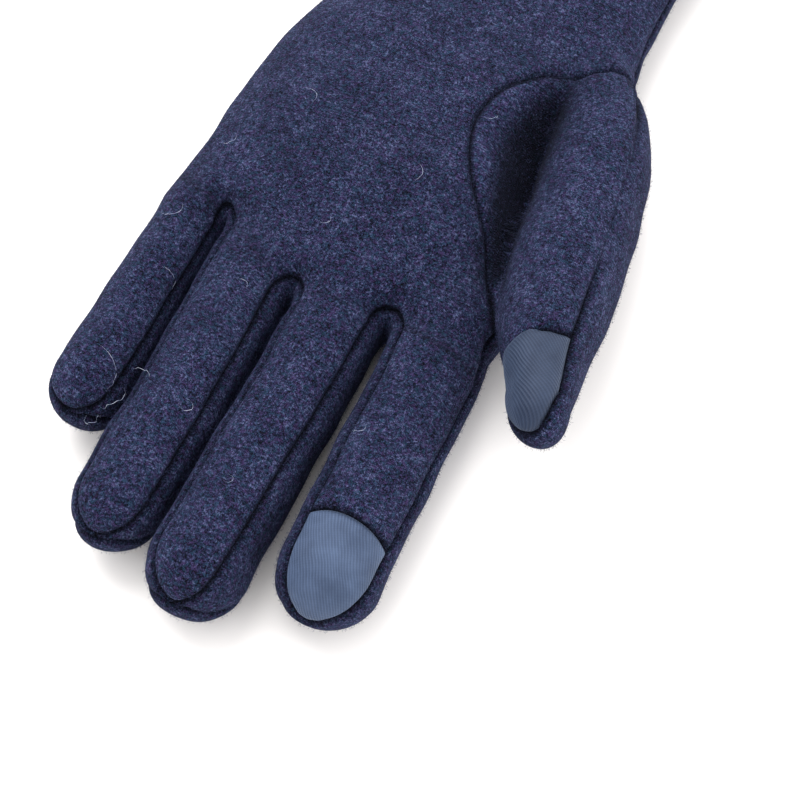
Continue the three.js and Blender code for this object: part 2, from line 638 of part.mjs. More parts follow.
// Closed shell of cloth from nets of rays that share their edges. Its edges stand back by half the
// seam gap, towards the middle of the faces beside them.
function clothGeometry(nets) {
  const outer = [];
  const inner = [];
  const found = new Map();
  const vertex = (ray) => {
    const p = meetSkin(ray, 0);
    const key = p.toArray().map((value) => value.toFixed(2)).join();
    if (!found.has(key)) {
      found.set(key, outer.length);
      outer.push(p);
      const hem = p.y > hemStart ? hemWall : wall;
      const q = meetSkin(ray, hem);
      const reach = Math.min(p.distanceTo(q), deepestWall * hem);
      inner.push(q.sub(p).setLength(reach).add(p));
    }
    return found.get(key);
  };
  const faces = [];
  for (const rows of nets) {
    const grid = rows.map((row) => row.map(vertex));
    const quads = [];
    for (let i = 0; i + 1 < grid.length; i += 1) {
      for (let j = 0; j + 1 < grid[i].length; j += 1) {
        quads.push([grid[i][j], grid[i][j + 1], grid[i + 1][j + 1], grid[i + 1][j]]);
      }
    }
    const facing = quads.reduce((sum, [a, b, , d]) => {
      const normal = outer[b].clone().sub(outer[a]).cross(outer[d].clone().sub(outer[a]));
      return sum + normal.dot(outer[a].clone().sub(inner[a]));
    }, 0);
    faces.push(...(facing > 0 ? quads : quads.map((quad) => quad.reverse())));
  }
  const edges = new Map();
  for (const face of faces) {
    face.forEach((a, i) => edges.set(`${a}_${face[(i + 1) % 4]}`, { a, b: face[(i + 1) % 4], face }));
  }
  const rim = [...edges.values()].filter(({ a, b }) => !edges.has(`${b}_${a}`));
  const order = outer.map((p) => p.x + p.y);
  standBack(outer, rim);
  standBack(inner, rim);
  const index = [];
  const count = outer.length;
  for (const [a, b, c, d] of faces) {
    index.push(a, b, c, a, c, d);
    index.push(a + count, c + count, b + count, a + count, d + count, c + count);
  }
  for (const { a, b } of rim) {
    if (order[a] < order[b]) index.push(b, a, a + count, b, a + count, b + count);
    else index.push(a, b + count, b, a, a + count, b + count);
  }
  const geometry = new THREE.BufferGeometry();
  geometry.setAttribute('position', new THREE.Float32BufferAttribute(
    [...outer, ...inner].flatMap((p) => p.toArray()), 3));
  geometry.setIndex(index);
  return geometry;
}

const navyFleece = { color: 0x232a47, roughness: 0.95, metalness: 0 };
const blueTwill = { color: 0x2f4a73, roughness: 0.75, metalness: 0 };

const group = new THREE.Group();
group.position.set(originShift.x, originShift.y, 0);

function addPiece(name, nets, finish) {
  const mesh = new THREE.Mesh(clothGeometry(nets), new THREE.MeshStandardMaterial(finish));
  mesh.name = name;
  group.add(mesh);
}

const [little, ring, middle, indexFinger] = fingers;
addPiece('palm_panel', [
  handNet(1),
  ...[little, ring, middle].map((finger) => fingerNet(finger, 1, fingerStations)),
  fingerNet(indexFinger, 1, shaftStations),
], navyFleece);
addPiece('back_panel', [
  handNet(-1),
  ...fingers.map((finger) => fingerNet(finger, -1, fingerStations)),
], navyFleece);
crotches.forEach(({ name }, index) => addPiece(name, [fourchetteNet(index)], navyFleece));
addPiece('thumb_front', [thumbNet(1, thumbShaft)], navyFleece);
addPiece('thumb_back', [thumbNet(-1, [...thumbShaft, ...thumbTip.slice(1)])], navyFleece);
addPiece('index_touch_patch', [fingerNet(indexFinger, 1, tipStations)], blueTwill);
addPiece('thumb_touch_patch', [thumbNet(1, thumbTip)], blueTwill);

export default group;
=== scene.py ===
# The looks of a left-hand glove of brushed fleece jersey with touch patches, lying palm up.
# Lengths in the tables are millimetres in the pattern's own frame, where y = 0 is the crotch line
# beside the middle finger. The meshes are written in metres in the row's frame.
import math
import bpy
import numpy as np
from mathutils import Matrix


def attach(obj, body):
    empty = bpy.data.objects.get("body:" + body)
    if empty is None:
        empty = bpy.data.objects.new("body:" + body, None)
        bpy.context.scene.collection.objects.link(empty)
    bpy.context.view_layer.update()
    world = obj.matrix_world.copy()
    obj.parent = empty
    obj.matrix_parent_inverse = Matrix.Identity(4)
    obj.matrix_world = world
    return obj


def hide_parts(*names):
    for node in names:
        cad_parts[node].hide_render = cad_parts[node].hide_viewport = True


print("loading the frame")
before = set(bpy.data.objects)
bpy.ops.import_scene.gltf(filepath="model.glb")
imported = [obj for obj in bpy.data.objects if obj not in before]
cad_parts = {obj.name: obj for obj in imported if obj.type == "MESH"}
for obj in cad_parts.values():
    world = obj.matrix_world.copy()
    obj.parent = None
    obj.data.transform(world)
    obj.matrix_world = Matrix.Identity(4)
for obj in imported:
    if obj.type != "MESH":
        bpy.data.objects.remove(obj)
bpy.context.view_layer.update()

originShift = np.array([-5.6, -38.7, 0.0])  # from the pattern's frame to the row's frame
upward = np.array([0.0, 0.0, 1.0])
thumbward = np.array([1.0, 0.0, 0.0])

# Sections of the hand from the finger roots to the cuff: y, x, z, half width, half height
handSections = np.array([
    [-6, -4.8, 10, 38.8, 10],
    [10, -5.4, 11, 40.4, 11.6],
    [30, -5.9, 12.8, 39.9, 13.8],
    [55, -5.2, 13.2, 39.4, 14.2],
    [80, -2.4, 12.4, 38, 13.4],
    [104, -1.2, 12, 36.6, 12.8],
    [130, -1, 12.2, 38, 13],
    [160, -1, 12.4, 40, 13.4],
])
knuckleLine = np.array([[-50, 12], [-32, 14], [-10, 4.5], [13, 4.8], [40, 10.0]])  # x, y

# Sections of the thumb from inside the wrist to its tip: y, x, z, half width, half height
thumbSections = np.array([
    [-12, 51.3, 26.6, 6.9, 8.6],
    [2, 47.2, 24, 10.2, 10.6],
    [15, 45, 21.6, 12.2, 12],
    [30, 42.8, 19.6, 12.8, 12.6],
    [44, 40.9, 18, 12.6, 12.4],
    [58, 38.2, 16.4, 12.2, 12],
    [72, 33.6, 14.6, 11, 10.6],
    [86, 26, 13, 8, 8],
])

# Fingers from the little one to the index one. Seam angles are degrees above the widest line, at
# the root and at the tip.
fingers = [
    dict(name="little", rootX=-40.6, capX=-38.5, rootY=8, capY=-40.5, capZ=11.5, tipLength=9.2,
         rootWidth=7.4, tipWidth=8.2, halfHeight=9.9, tipTurn=68, outerY=14,
         thumbPalm=(32, 36), thumbBack=(-38, -26), littlePalm=(20, 28), littleBack=(20, 28)),
    dict(name="ring", rootX=-21.1, capX=-19, rootY=2, capY=-61.5, capZ=12, tipLength=10.6,
         rootWidth=10.5, tipWidth=9.3, halfHeight=10.2, tipTurn=74,
         thumbPalm=(41, 38), thumbBack=(-38, -26), littlePalm=(42, 42), littleBack=(-38, -26)),
    dict(name="middle", rootX=1.2, capX=2.4, rootY=-4, capY=-67.5, capZ=12.5, tipLength=11.2,
         rootWidth=10.3, tipWidth=10.4, halfHeight=10.6, tipTurn=76,
         thumbPalm=(38, 50), thumbBack=(-38, -24), littlePalm=(42, 44), littleBack=(-38, -26)),
    dict(name="index", rootX=25, capX=26.9, rootY=-1, capY=-58, capZ=12.5, tipLength=11.4,
         rootWidth=11, tipWidth=10.9, halfHeight=10.6, tipTurn=93, outerY=-7,
         thumbPalm=(18, 26), thumbBack=(18, 26), littlePalm=(42, 44), littleBack=(-38, -26)),
]
crotches = [(-32.2, 8.4), (-9.8, -3), (12.8, -1.6)]  # x, y

# Points close to the seam round the thumb's opening: 1 over the palm, -1 under the thumb
thumbSeams = {1: np.array([
    [35.5, 4.9, 16], [33, 8.2, 18.8], [29.8, 14, 20.2], [25.8, 22.5, 21.6], [19.5, 30.3, 23.8],
    [14, 39, 25.8], [11, 49, 26.7], [12.3, 59, 26.4], [18, 67.5, 25.2], [27, 74, 24],
    [37.6, 80.7, 17],
]), -1: np.array([
    [35.5, 4.9, 16], [37.6, 7.5, 13], [37.6, 13.5, 10.6], [35.5, 22, 8.8], [33.2, 31, 7.7],
    [32.2, 40, 7.2], [33, 49, 6.4], [36, 57.5, 4.8], [39.6, 66, 5.2], [42.3, 74, 10.5],
    [37.6, 80.7, 17],
])}

# The valley between palm and thumb, scooped out of the hand: y, x of its deepest line, z of its
# brim, half width, depth
valleySections = np.array([
    [21, 32.3, 24, 5, 4.5],
    [30, 31, 26, 8.5, 10],
    [40, 30.5, 27, 12, 14],
    [50, 30, 27.5, 15, 15],
    [60, 28.5, 27.5, 12.5, 13],
    [68, 27, 27, 8, 8],
    [76, 26, 26.5, 3.5, 2.5],
])

skin = dict(
    fingerZ=9.8, webDepth=1.8, fingerBlend=7, outerBlend=1, thumbBlend=6, handPower=2.4, fingerPower=2.15,
    tailLength=42, tailTaper=0.16, knuckleRounding=4, thumbTipLength=9.6, tipSquareness=2.1,
    tipReach=0.94, tipCornerTurn=0.9, tipSpan=173, tipOverhang=12, fingerTipStep=5, thumbTipStep=8,
    sideSeamLift=20, sideInset=0.45, edgeFan=16, webTurn=55, webInset=7, webLift=0.7, openingFan=60,
    crotchRowY=26, wristRowY=82, cuffY=156, innerSeam=214, outerSeam=56, thumbTipTurn=84,
    thumbStart=0.5, patchStart=0.86, patchBulge=1.6, patchBulgeAbove=0.172, patchBulgeBelow=0.14,
    patchReach=0.26, patchReachPower=4, thumbLean=0.32, openingCrowding=1.25,
    valleyEnd=4, valleyPower=1.25, valleyBlend=4, valleyCrease=1.5, creaseRoom=6,
)

# Regions by their sides: axis (0 x, 1 y), where it sets in, where it holds
blendRegion = ((0, -44, -37), (1, 34, 14))  # the fingers' full blend into the hand
foldRegion = ((1, 8, 16), (1, 84, 74), (0, 8, 14))  # the fold between palm and thumb, where its painted shade goes
flatOuterSeam = ((1, 10, 28), (0, 42, 47))  # seams that lie nearly flat on the thumb's outer side
flatInnerSeam = ((1, 3, -1), (1, -19, -15), (0, 38, 40), (0, 47, 45))  # and beside its patch

# How a ray finds the skin: where slopes are felt for, its steps, their share of the distance, how far
# it may go back, how deep it starts, the floor, the steps to a nearest spot, a shift off the axes
tracing = dict(feel=0.05, steps=44, stride=0.75, stepBack=1.5, startDepth=1.2, floorHeight=0.03,
               spotSteps=6, offAxis=1e-4)


def mix(a, b, t):
    return a + (b - a) * t


def unit(v):
    return v / np.linalg.norm(v, axis=-1, keepdims=True)


def smooth(t):
    t = np.clip(t, 0, 1)
    return t * t * (3 - 2 * t)


def regionShare(p, sides):
    # 1 inside a region, and a smooth step down to 0 across each of its sides
    share = 1.0
    for axis, start, end in sides:
        share = share * smooth((p[..., axis] - start) / (end - start))
    return share


def readTable(rows, value):
    # Smooth curve through the rows, by the first column: cubics whose slope at a row is that of the
    # chord between its neighbours
    value = np.asarray(value, float)
    keys = rows[:, 0]
    i = np.clip(np.searchsorted(keys, value) - 1, 0, len(rows) - 2)
    a = rows[i]
    b = rows[i + 1]
    before = rows[np.maximum(i - 1, 0)]
    after = rows[np.minimum(i + 2, len(rows) - 1)]
    span = b[..., :1] - a[..., :1]
    t = np.clip((value[..., None] - a[..., :1]) / span, 0, 1)
    slopeA = (b - before) / (b[..., :1] - before[..., :1]) * span
    slopeB = (after - a) / (after[..., :1] - a[..., :1]) * span
    rise = b - a
    return a + t * (slopeA + t * (3 * rise - 2 * slopeA - slopeB + t * (slopeA + slopeB - 2 * rise)))


def sectionDistance(across, rise, beyond, halfWidth, halfHeight, endLength, power):
    # Distance to a rounded section: (size - 1) over the slope of size, where size is the radius
    # of the squared-off oval through the point, and of the round end past the last section
    a = np.abs(across + tracing["offAxis"]) / halfWidth
    b = np.abs(rise) / halfHeight
    c = beyond / endLength
    oval = (a**power + b**power) ** (1 / power)
    size = np.hypot(oval, c)
    slopeA = oval * (a / oval) ** (power - 1) / halfWidth / size
    slopeB = oval * (b / oval) ** (power - 1) / halfHeight / size
    slopeC = c / endLength / size
    return (size - 1) / np.sqrt(slopeA**2 + slopeB**2 + slopeC**2)


def bodyDistance(rows, p, beyond, endLength, power, lean=0):
    # Distance to the body that a table's sections give, with its axis moved sideways by lean
    _, x, z, halfWidth, halfHeight = np.moveaxis(readTable(rows, p[..., 1]), -1, 0)
    across = p[..., 0] - (x + lean)
    return sectionDistance(across, p[..., 2] - z, beyond, halfWidth, halfHeight, endLength, power)


def smoothMin(a, b, width):
    # The smaller of two, rounded off by a parabola where they differ by less than width
    near = np.maximum(width - np.abs(a - b), 0) / width
    return np.minimum(a, b) - near * near * width / 4


def fingerAxis(finger, y):
    # A straight line from above, which rises by the square of the share of the finger's length
    t = (finger["rootY"] - y) / (finger["rootY"] - finger["capY"])
    curl = np.maximum(t, 0) ** 2
    x = mix(finger["rootX"], finger["capX"], t)
    return np.stack([x, y + 0 * x, mix(skin["fingerZ"], finger["capZ"], curl)], -1)


def fingerDistance(finger, p):
    # The widths run evenly from root to tip, and shrink evenly along the tail inside the hand
    y = np.maximum(p[..., 1], finger["capY"])
    axis = fingerAxis(finger, y)
    share = np.maximum((finger["rootY"] - y) / (finger["rootY"] - finger["capY"]), 0)
    tail = np.clip(y - finger["rootY"], 0, skin["tailLength"])
    past = p[..., 1] - finger["rootY"] - skin["tailLength"]
    beyond = np.maximum(np.maximum(finger["capY"] - p[..., 1], past), 0)
    halfWidth = mix(finger["rootWidth"], finger["tipWidth"], share) - skin["tailTaper"] * tail
    halfHeight = finger["halfHeight"] - skin["tailTaper"] * tail
    return sectionDistance(p[..., 0] - axis[..., 0], p[..., 2] - axis[..., 2], beyond, halfWidth,
                           halfHeight, finger["tipLength"], skin["fingerPower"])


def skinDistance(p):
    # Distance to the filled-out glove: the nearest finger, the hand less the valley beside the
    # thumb, and the thumb, each blended into the next where they join
    fingerSkin = np.min([fingerDistance(finger, p) for finger in fingers], 0)
    beyond = np.maximum(readTable(knuckleLine, p[..., 0])[..., 1] - p[..., 1], 0)
    hand = bodyDistance(handSections, p, beyond, skin["knuckleRounding"], skin["handPower"])
    blend = mix(skin["outerBlend"], skin["fingerBlend"], regionShare(p, blendRegion))
    hand = smoothMin(fingerSkin, hand, blend)
    beyond = np.maximum(valleySections[0, 0] - p[..., 1], p[..., 1] - valleySections[-1, 0])
    beyond = np.maximum(beyond, 0)
    valley = bodyDistance(valleySections, p, beyond, skin["valleyEnd"], skin["valleyPower"])
    hand = -smoothMin(-hand, valley, skin["valleyBlend"])
    cap = np.maximum(thumbSections[0, 0] - p[..., 1], 0)
    beyond = np.maximum(cap, p[..., 1] - thumbSections[-1, 0])
    thumb = bodyDistance(thumbSections, p, beyond, skin["thumbTipLength"], 2, skin["thumbLean"] * cap)
    crease = mix(skin["valleyCrease"], skin["thumbBlend"], smooth(valley / skin["creaseRoom"]))
    return smoothMin(hand, thumb, crease)


def skinSlope(p):
    # The distance's rise from one side of a point to the other, along x, y and z
    reach = tracing["feel"] * np.eye(3)
    rise = np.stack([skinDistance(p + r) - skinDistance(p - r) for r in reach], -1)
    return rise / (2 * tracing["feel"])


def meetSkin(core, aim):
    # Where rays leave the skin: each ray moves on by a share of its distance to the skin until it
    # stands on it, and goes back a little at most. The floor stops it too.
    t = np.zeros(core.shape[:-1])
    for _ in range(tracing["steps"]):
        p = core + aim * t[..., None]
        t = t - tracing["stride"] * np.maximum(skinDistance(p), -p[..., 2])
        t = np.maximum(t, -tracing["stepBack"])
    p = core + aim * t[..., None]
    p[..., 2] = np.where(p[..., 2] < tracing["floorHeight"], 0, p[..., 2])
    return p


def tipTaper(t):
    # How wide the rays of a tip still fan at share t of it: a squared-off quarter circle
    power = skin["tipSquareness"]
    return (1 - (skin["tipReach"] * t) ** power) ** (1 / power)


def fingerRays(finger, side, face, along):
    # Rays of a finger. side: 1 towards the thumb, 0 middle, -1 towards the little finger. face: 1
    # palm, -1 back. along: 0 root, 1 last full section, 2 seam across the tip.
    along = np.asarray(along, float)
    straight = np.minimum(along, 1)
    turn = np.maximum(along - 1, 0)
    place = fingers.index(finger)
    thumbSideY = crotches[place][1] - skin["webDepth"] if place < 3 else finger["outerY"]
    littleSideY = crotches[place - 1][1] - skin["webDepth"] if place > 0 else finger["outerY"]
    rootY = mix(littleSideY, thumbSideY, (side + 1) / 2)
    core = fingerAxis(finger, mix(rootY, finger["capY"], straight))
    beforeCap, cap = fingerAxis(finger, finger["capY"] + np.array([skin["fingerTipStep"], 0]))
    tipward = unit(cap - beforeCap)
    if side == 0:
        halfTurn = finger["tipTurn"] if face > 0 else skin["tipSpan"] - finger["tipTurn"]
        angle = np.radians(turn * halfTurn)[..., None]
        aim = upward * face * np.cos(angle) + tipward * np.sin(angle)
        return core, unit(aim)
    palmAngles = finger["thumbPalm"] if side > 0 else finger["littlePalm"]
    backAngles = finger["thumbBack"] if side > 0 else finger["littleBack"]

    def palmAim(t):
        spread = np.radians((90 - mix(*palmAngles, straight)) * tipTaper(t))[..., None]
        angle = np.radians(t * skin["tipCornerTurn"] * finger["tipTurn"])[..., None]
        aim = (upward * np.cos(angle) + tipward * np.sin(angle)) * np.cos(spread)
        return aim + side * thumbward * np.sin(spread)

    if face > 0 or palmAngles[0] == backAngles[0]:
        return core, unit(palmAim(turn))
    angle = np.radians(mix(*backAngles, straight))[..., None]
    rootAim = side * thumbward * np.cos(angle) + upward * np.sin(angle)
    tipAim = unit(palmAim(np.ones_like(turn)) - upward * math.tan(math.radians(skin["tipOverhang"])))
    return core, unit(mix(rootAim, tipAim, turn[..., None]))


def fanWeights(t):
    # Weights of the first, middle and last ray on the parabola through them, at share t
    return [(1 - t) * (1 - 2 * t), 4 * t * (1 - t), t * (2 * t - 1)]


def fanRays(first, middle, last, t):
    # Rays across a net, on the parabola through the rays at its two edges and its middle
    rays = list(zip(fanWeights(t), (first, middle, last)))
    core, aim = [sum(w[:, None] * ray[part][..., None, :] for w, ray in rays) for part in (0, 1)]
    return core, unit(aim)


def fingerNet(finger, face, along, across):
    # Rays of one side of a finger. Above the index patch the middle line bulges down at its edge.
    middleCore, middleAim = fingerRays(finger, 0, face, along)
    if finger["name"] == "index" and face > 0:
        room = np.where(along < skin["patchStart"], skin["patchBulgeAbove"], skin["patchBulgeBelow"])
        bulge = np.maximum(1 - np.abs(along - skin["patchStart"]) / room, 0)
        middleCore = middleCore + skin["patchBulge"] * smooth(bulge)[:, None] * np.array([0, 1, 0])
    first = fingerRays(finger, -1, face, along)
    last = fingerRays(finger, 1, face, along)
    return fanRays(first, (middleCore, middleAim), last, across)


def webNet(index, face, across):
    # Rays across the crotch between a finger and the next one
    angle = math.radians(face * skin["webTurn"])
    x, y = crotches[index]
    middle = (np.array([[x, y + skin["webInset"], skin["fingerZ"] + skin["webLift"]]]),
              np.array([[0, -math.cos(angle), math.sin(angle)]]))
    first = fingerRays(fingers[index], 1, face, [0])
    last = fingerRays(fingers[index + 1], -1, face, [0])
    return fanRays(first, middle, last, across)


def skinRays(p):
    # Rays square to the skin through the skin's nearest spots to the points
    for _ in range(tracing["spotSteps"]):
        slope = skinSlope(p)
        p = p - slope * (skinDistance(p) / (slope**2).sum(-1))[..., None]
    aim = unit(skinSlope(p))
    return p - tracing["startDepth"] * aim, aim


def seamRays(points, t):
    # Rays at share t of the smooth curve through a seam's points
    steps = np.linspace(0, 1, len(points))[:, None]
    return skinRays(readTable(np.hstack([steps, points]), t)[..., 1:])


def sideRays(side, y):
    # Rays at the hand's edge, side 1 or -1, where palm and back are sewn together
    _, x, z, halfWidth, halfHeight = np.moveaxis(readTable(handSections, y), -1, 0)
    angle = math.radians(skin["sideSeamLift"])
    core = np.stack([x + side * (halfWidth - skin["sideInset"] * halfHeight), y, z], -1)
    aim = np.array([side * math.cos(angle), 0, math.sin(angle)])
    return core, np.broadcast_to(aim, core.shape)


def handRows(first, last, face, shares, lastFan):
    # Rows of upright rays over the hand, which lean into the edge rays close to both edges
    firstEnd = meetSkin(*first)[:, None]
    lastEnd = meetSkin(*last)[:, None]
    t = shares[None, :, None]
    core = mix(firstEnd, lastEnd, t)
    core[..., 2] = readTable(handSections, core[..., 1])[..., 2]
    aim = np.broadcast_to(upward * face, core.shape)
    for ray, weight in ((first, (1 - t) ** skin["edgeFan"]), (last, t**lastFan)):
        core, aim = mix(core, ray[0][:, None], weight), unit(mix(aim, ray[1][:, None], weight))
    return core, aim


print("sewing pattern and skin ready")


def skinNet(first, last, shares):
    # Rays between two rows, square to the skin where it is nearest to straight lines between them
    start = meetSkin(*first)[None]
    end = meetSkin(*last)[None]
    return skinRays(mix(start, end, shares[:, None, None]))


# How a column crosses the valley: between which shares of its way, the share that it turns in, the
# depth where it starts to sag and the room for that, how y lags, how often columns are evened out
crossingWay = dict(first=0.2, last=0.8, shares=61, turnShare=0.08, shallow=2.6, room=5, lag=1.7,
                   evenTimes=8)


def wayAcross(start, end, s):
    # The way of a column at share s: even in x and z, while y sets out slowly by s^lag, so that the
    # column leaves the seam sideways
    way = mix(start, end, s[..., None])
    way[..., 1] = mix(start[..., 1], end[..., 1], s ** crossingWay["lag"])
    return way


def valleyNet(first, last, shares):
    # Rays between two rows. Where a column crosses the valley it sags to the valley's deepest line,
    # by straight slopes on both sides.
    start = meetSkin(*first)
    end = meetSkin(*last)
    reach = np.linspace(crossingWay["first"], crossingWay["last"], crossingWay["shares"])
    line = wayAcross(start[None], end[None], reach[:, None] + 0 * start[None, :, 0])
    past = line[..., 0] > readTable(valleySections, line[..., 1])[..., 1]
    crossing = np.where(past.any(0), reach[past.argmax(0)], reach[-1])
    edge = np.minimum(crossing - reach[0], reach[-1] - crossing) / crossingWay["turnShare"]
    crossing = evenOut(crossing)
    at = wayAcross(start, end, crossing)
    _, x, brim, _, depth = np.moveaxis(readTable(valleySections, at[:, 1]), -1, 0)
    bottom = np.stack([x, at[:, 1], brim - depth], -1)
    sagging = smooth((depth - crossingWay["shallow"]) / crossingWay["room"])
    turn = evenOut(sagging * smooth(edge))
    t = shares[:, None]
    bent = np.where(t < 0.5, 2 * t * crossing, crossing + (2 * t - 1) * (1 - crossing))
    s = mix(t, bent, turn)
    sag = turn * np.minimum(s / crossing, (1 - s) / (1 - crossing))
    return skinRays(wayAcross(start, end, s) + sag[..., None] * (bottom - at))


def evenOut(values):
    # Each value but the outer two becomes a weighted mean with its neighbours, several times over
    values = values.copy()
    for _ in range(crossingWay["evenTimes"]):
        values[1:-1] = (values[:-2] + 2 * values[1:-1] + values[2:]) / 4
    return values


evening = dict(rounds=4, steps=10, handRows=56)


def evenNet(p, aims, last):
    # Evens a net out between its first row and the last one: each point moves to the mean of its
    # four neighbours, steps times over, and back onto the skin; and all that rounds times
    p = p.copy()
    aims = aims.copy()
    for _ in range(evening["rounds"]):
        for _ in range(evening["steps"]):
            beside = p[1:last, :-2] + p[1:last, 2:]
            p[1:last, 1:-1] = (p[:last - 1, 1:-1] + p[2:last + 1, 1:-1] + beside) / 4
        core, aim = skinRays(p[1:last, 1:-1])
        p[1:last, 1:-1] = meetSkin(core, aim)
    aims[1:last, 1:-1] = aim
    return p, aims


def joinRows(*nets):
    return tuple(np.concatenate([net[part] for net in nets]) for part in (0, 1))


def spread(count):
    return np.linspace(0, 1, count + 1)


def arcs(points, axis):
    # Running length along the rows (axis 1) or columns (axis 0) of a net
    steps = np.linalg.norm(np.diff(points, axis=axis), axis=-1)
    start = np.zeros_like(np.take(steps, [0], axis))
    return np.concatenate([start, np.cumsum(steps, axis)], axis)


# How finely each net is divided, in cells
fineness = dict(
    fingerAcross=34, webAcross=12, fourchetteAcross=14, outerTip=5, shaft=76, patchRows=14, tip=26,
    knuckle=26, opening=72, wrist=76, thumbRoot=44, thumbShaft=26, thumbTip=26, leastGap=0.35,
)

across = spread(fineness["fingerAcross"])
shaftRows = spread(fineness["shaft"]) * skin["patchStart"]
patchRows = mix(skin["patchStart"], 1, spread(fineness["patchRows"]))
tipRows = np.concatenate([patchRows, 1 + spread(fineness["tip"])[1:]])
fingerRows = np.concatenate([shaftRows, tipRows[1:]])
openingShares = spread(fineness["opening"]) ** skin["openingCrowding"]


def netOf(rays, points, u, v):
    return dict(core=rays[0], aim=rays[1], outer=points, u=u, v=v)


def fingerPiece(finger, face, rows):
    # The cloth's own grid on a finger: u runs round it from its middle line, v along it
    rays = fingerNet(finger, face, rows, across)
    p = meetSkin(*rays)
    middle = len(across) // 2
    u = arcs(p, 1)
    u = finger["rootX"] + u - u[:, middle:middle + 1]
    return netOf(rays, p, u, p[:1, :, 1] - arcs(p, 0))


def handPiece(face, fingerPieces):
    # The hand from the finger roots to the cuff. u runs across it from its middle line, v along
    # it, and the fingers' own u takes on the hand's at their roots.
    roots = []
    starts = []
    webs = spread(fineness["webAcross"])
    for index, finger in enumerate(fingers):
        piece = fingerPieces[index]
        starts.append(sum(r[0].shape[1] for r in roots))
        roots.append((piece["core"][:1], piece["aim"][:1]))
        if index < 3:
            web = webNet(index, face, webs)
            roots.append((web[0][:, 1:-1], web[1][:, 1:-1]))
    roots = tuple(np.concatenate([r[part] for r in roots], 1)[0] for part in (0, 1))
    gaps = np.diff(meetSkin(*roots)[:, 0])
    gaps = np.maximum(gaps, fineness["leastGap"] * gaps.mean())
    shares = np.concatenate([[0], np.cumsum(gaps)]) / gaps.sum()
    sideYs = mix(skin["crotchRowY"], skin["wristRowY"], openingShares)
    seam = seamRays(thumbSeams[face], openingShares)
    palmRows = handRows(sideRays(-1, sideYs), seam, face, shares, skin["openingFan"])
    knuckles = skinNet(roots, (palmRows[0][0], palmRows[1][0]), spread(fineness["knuckle"])[1:-1])
    wristYs = mix(skin["wristRowY"], skin["cuffY"], spread(fineness["wrist"]))[1:]
    wristRows = handRows(sideRays(-1, wristYs), sideRays(1, wristYs), face, shares, skin["edgeFan"])
    core, aim = joinRows((roots[0][None], roots[1][None]), knuckles, palmRows, wristRows)
    p = meetSkin(core, aim)
    if face > 0:
        p, aim = evenNet(p, aim, evening["handRows"])
    handU = arcs(p, 1)
    handU = handU - handU[:, handU.shape[1] // 2][:, None]
    for piece, start in zip(fingerPieces, starts):
        piece["u"] = piece["u"] + handU[0, start] - piece["u"][0, 0]
    return netOf((core, aim), p, handU, p[..., 1])


def strip(top, bottom, t):
    # Rays of a gusset, fanned from its palm edge to its back edge
    middle = mix(top[0], bottom[0], 0.5), unit(top[1] + bottom[1])
    return fanRays(top, middle, bottom, t)


def fourchettePiece(index):
    # The gusset between two fingers: a strip from tip to tip through the crotch. v runs along it.
    t = spread(fineness["fourchetteAcross"])
    half = fineness["fingerAcross"] // 2

    def fingerStrip(finger, side):
        shaft = strip(*(fingerRays(finger, side, face, fingerRows) for face in (1, -1)), t)
        outerTip = fineness["outerTip"] if finger["name"] in ("little", "index") else 0
        order = np.arange(1, half + 1 + outerTip)
        order = fineness["fingerAcross"] - order if side > 0 else order
        tips = [fingerNet(finger, face, np.array([2.0]), across) for face in (1, -1)]
        return joinRows(shaft, strip(*((core[0, order], aim[0, order]) for core, aim in tips), t))

    webs = [webNet(index, face, spread(fineness["webAcross"])[1:-1]) for face in (1, -1)]
    web = strip(*((core[0], aim[0]) for core, aim in webs), t)
    left = fingerStrip(fingers[index], 1)
    right = fingerStrip(fingers[index + 1], -1)
    rays = joinRows((left[0][::-1], left[1][::-1]), web, right)
    p = meetSkin(*rays)
    return netOf(rays, p, arcs(p, 1), arcs(p, 0))


pad = (skin["innerSeam"] + skin["outerSeam"]) / 2  # where the thumb's pad faces


def thumbRays(angle, rootY, face, along):
    # Rays of the thumb at an angle round its axis; rows along, columns by their rootY
    y = mix(rootY, thumbSections[0, 0], np.minimum(along, 1))
    section = readTable(thumbSections, y)
    core = np.stack([section[..., 1], y, section[..., 2]], -1)
    capRow = thumbSections[0]
    before = readTable(thumbSections, capRow[0] + skin["thumbTipStep"])
    tipward = unit(np.array([capRow[1] - before[1], -skin["thumbTipStep"], capRow[2] - before[2]]))
    padAim = thumbward * math.cos(math.radians(pad)) + upward * math.sin(math.radians(pad))
    crossAim = np.cross(padAim, [0, -1, 0])
    turn = np.maximum(along - 1, 0)[..., None]
    offset = math.radians(angle - pad)
    if angle == pad or abs(angle - pad) == 180:
        halfTurn = skin["thumbTipTurn"] if face > 0 else 180 - skin["thumbTipTurn"]
        turned = np.radians(halfTurn * turn)
        return core, unit(padAim * face * np.cos(turned) + tipward * np.sin(turned))
    taper = tipTaper(turn)
    turned = np.radians(turn * skin["tipCornerTurn"] * skin["thumbTipTurn"])
    aim = (padAim * np.cos(turned) + tipward * np.sin(turned)) * np.cos(abs(offset) * taper)
    return core, unit(aim - math.copysign(1, offset) * crossAim * np.sin(abs(offset) * taper))


def thumbAlong(along, t):
    # Where a station lies on the thumb, at t across from its crotch side: the patch's edge moves up
    # by patchReach (1 - t)^patchReachPower there, and the stations beside it make room
    begin = skin["thumbStart"]
    patch = skin["patchStart"]
    edge = patch - skin["patchReach"] * (1 - t) ** skin["patchReachPower"]
    above = mix(begin, edge, (along - begin) / (patch - begin))
    below = mix(edge, 1, (along - patch) / (1 - patch))
    return np.where(along >= 1, along, np.where(along <= patch, above, below))


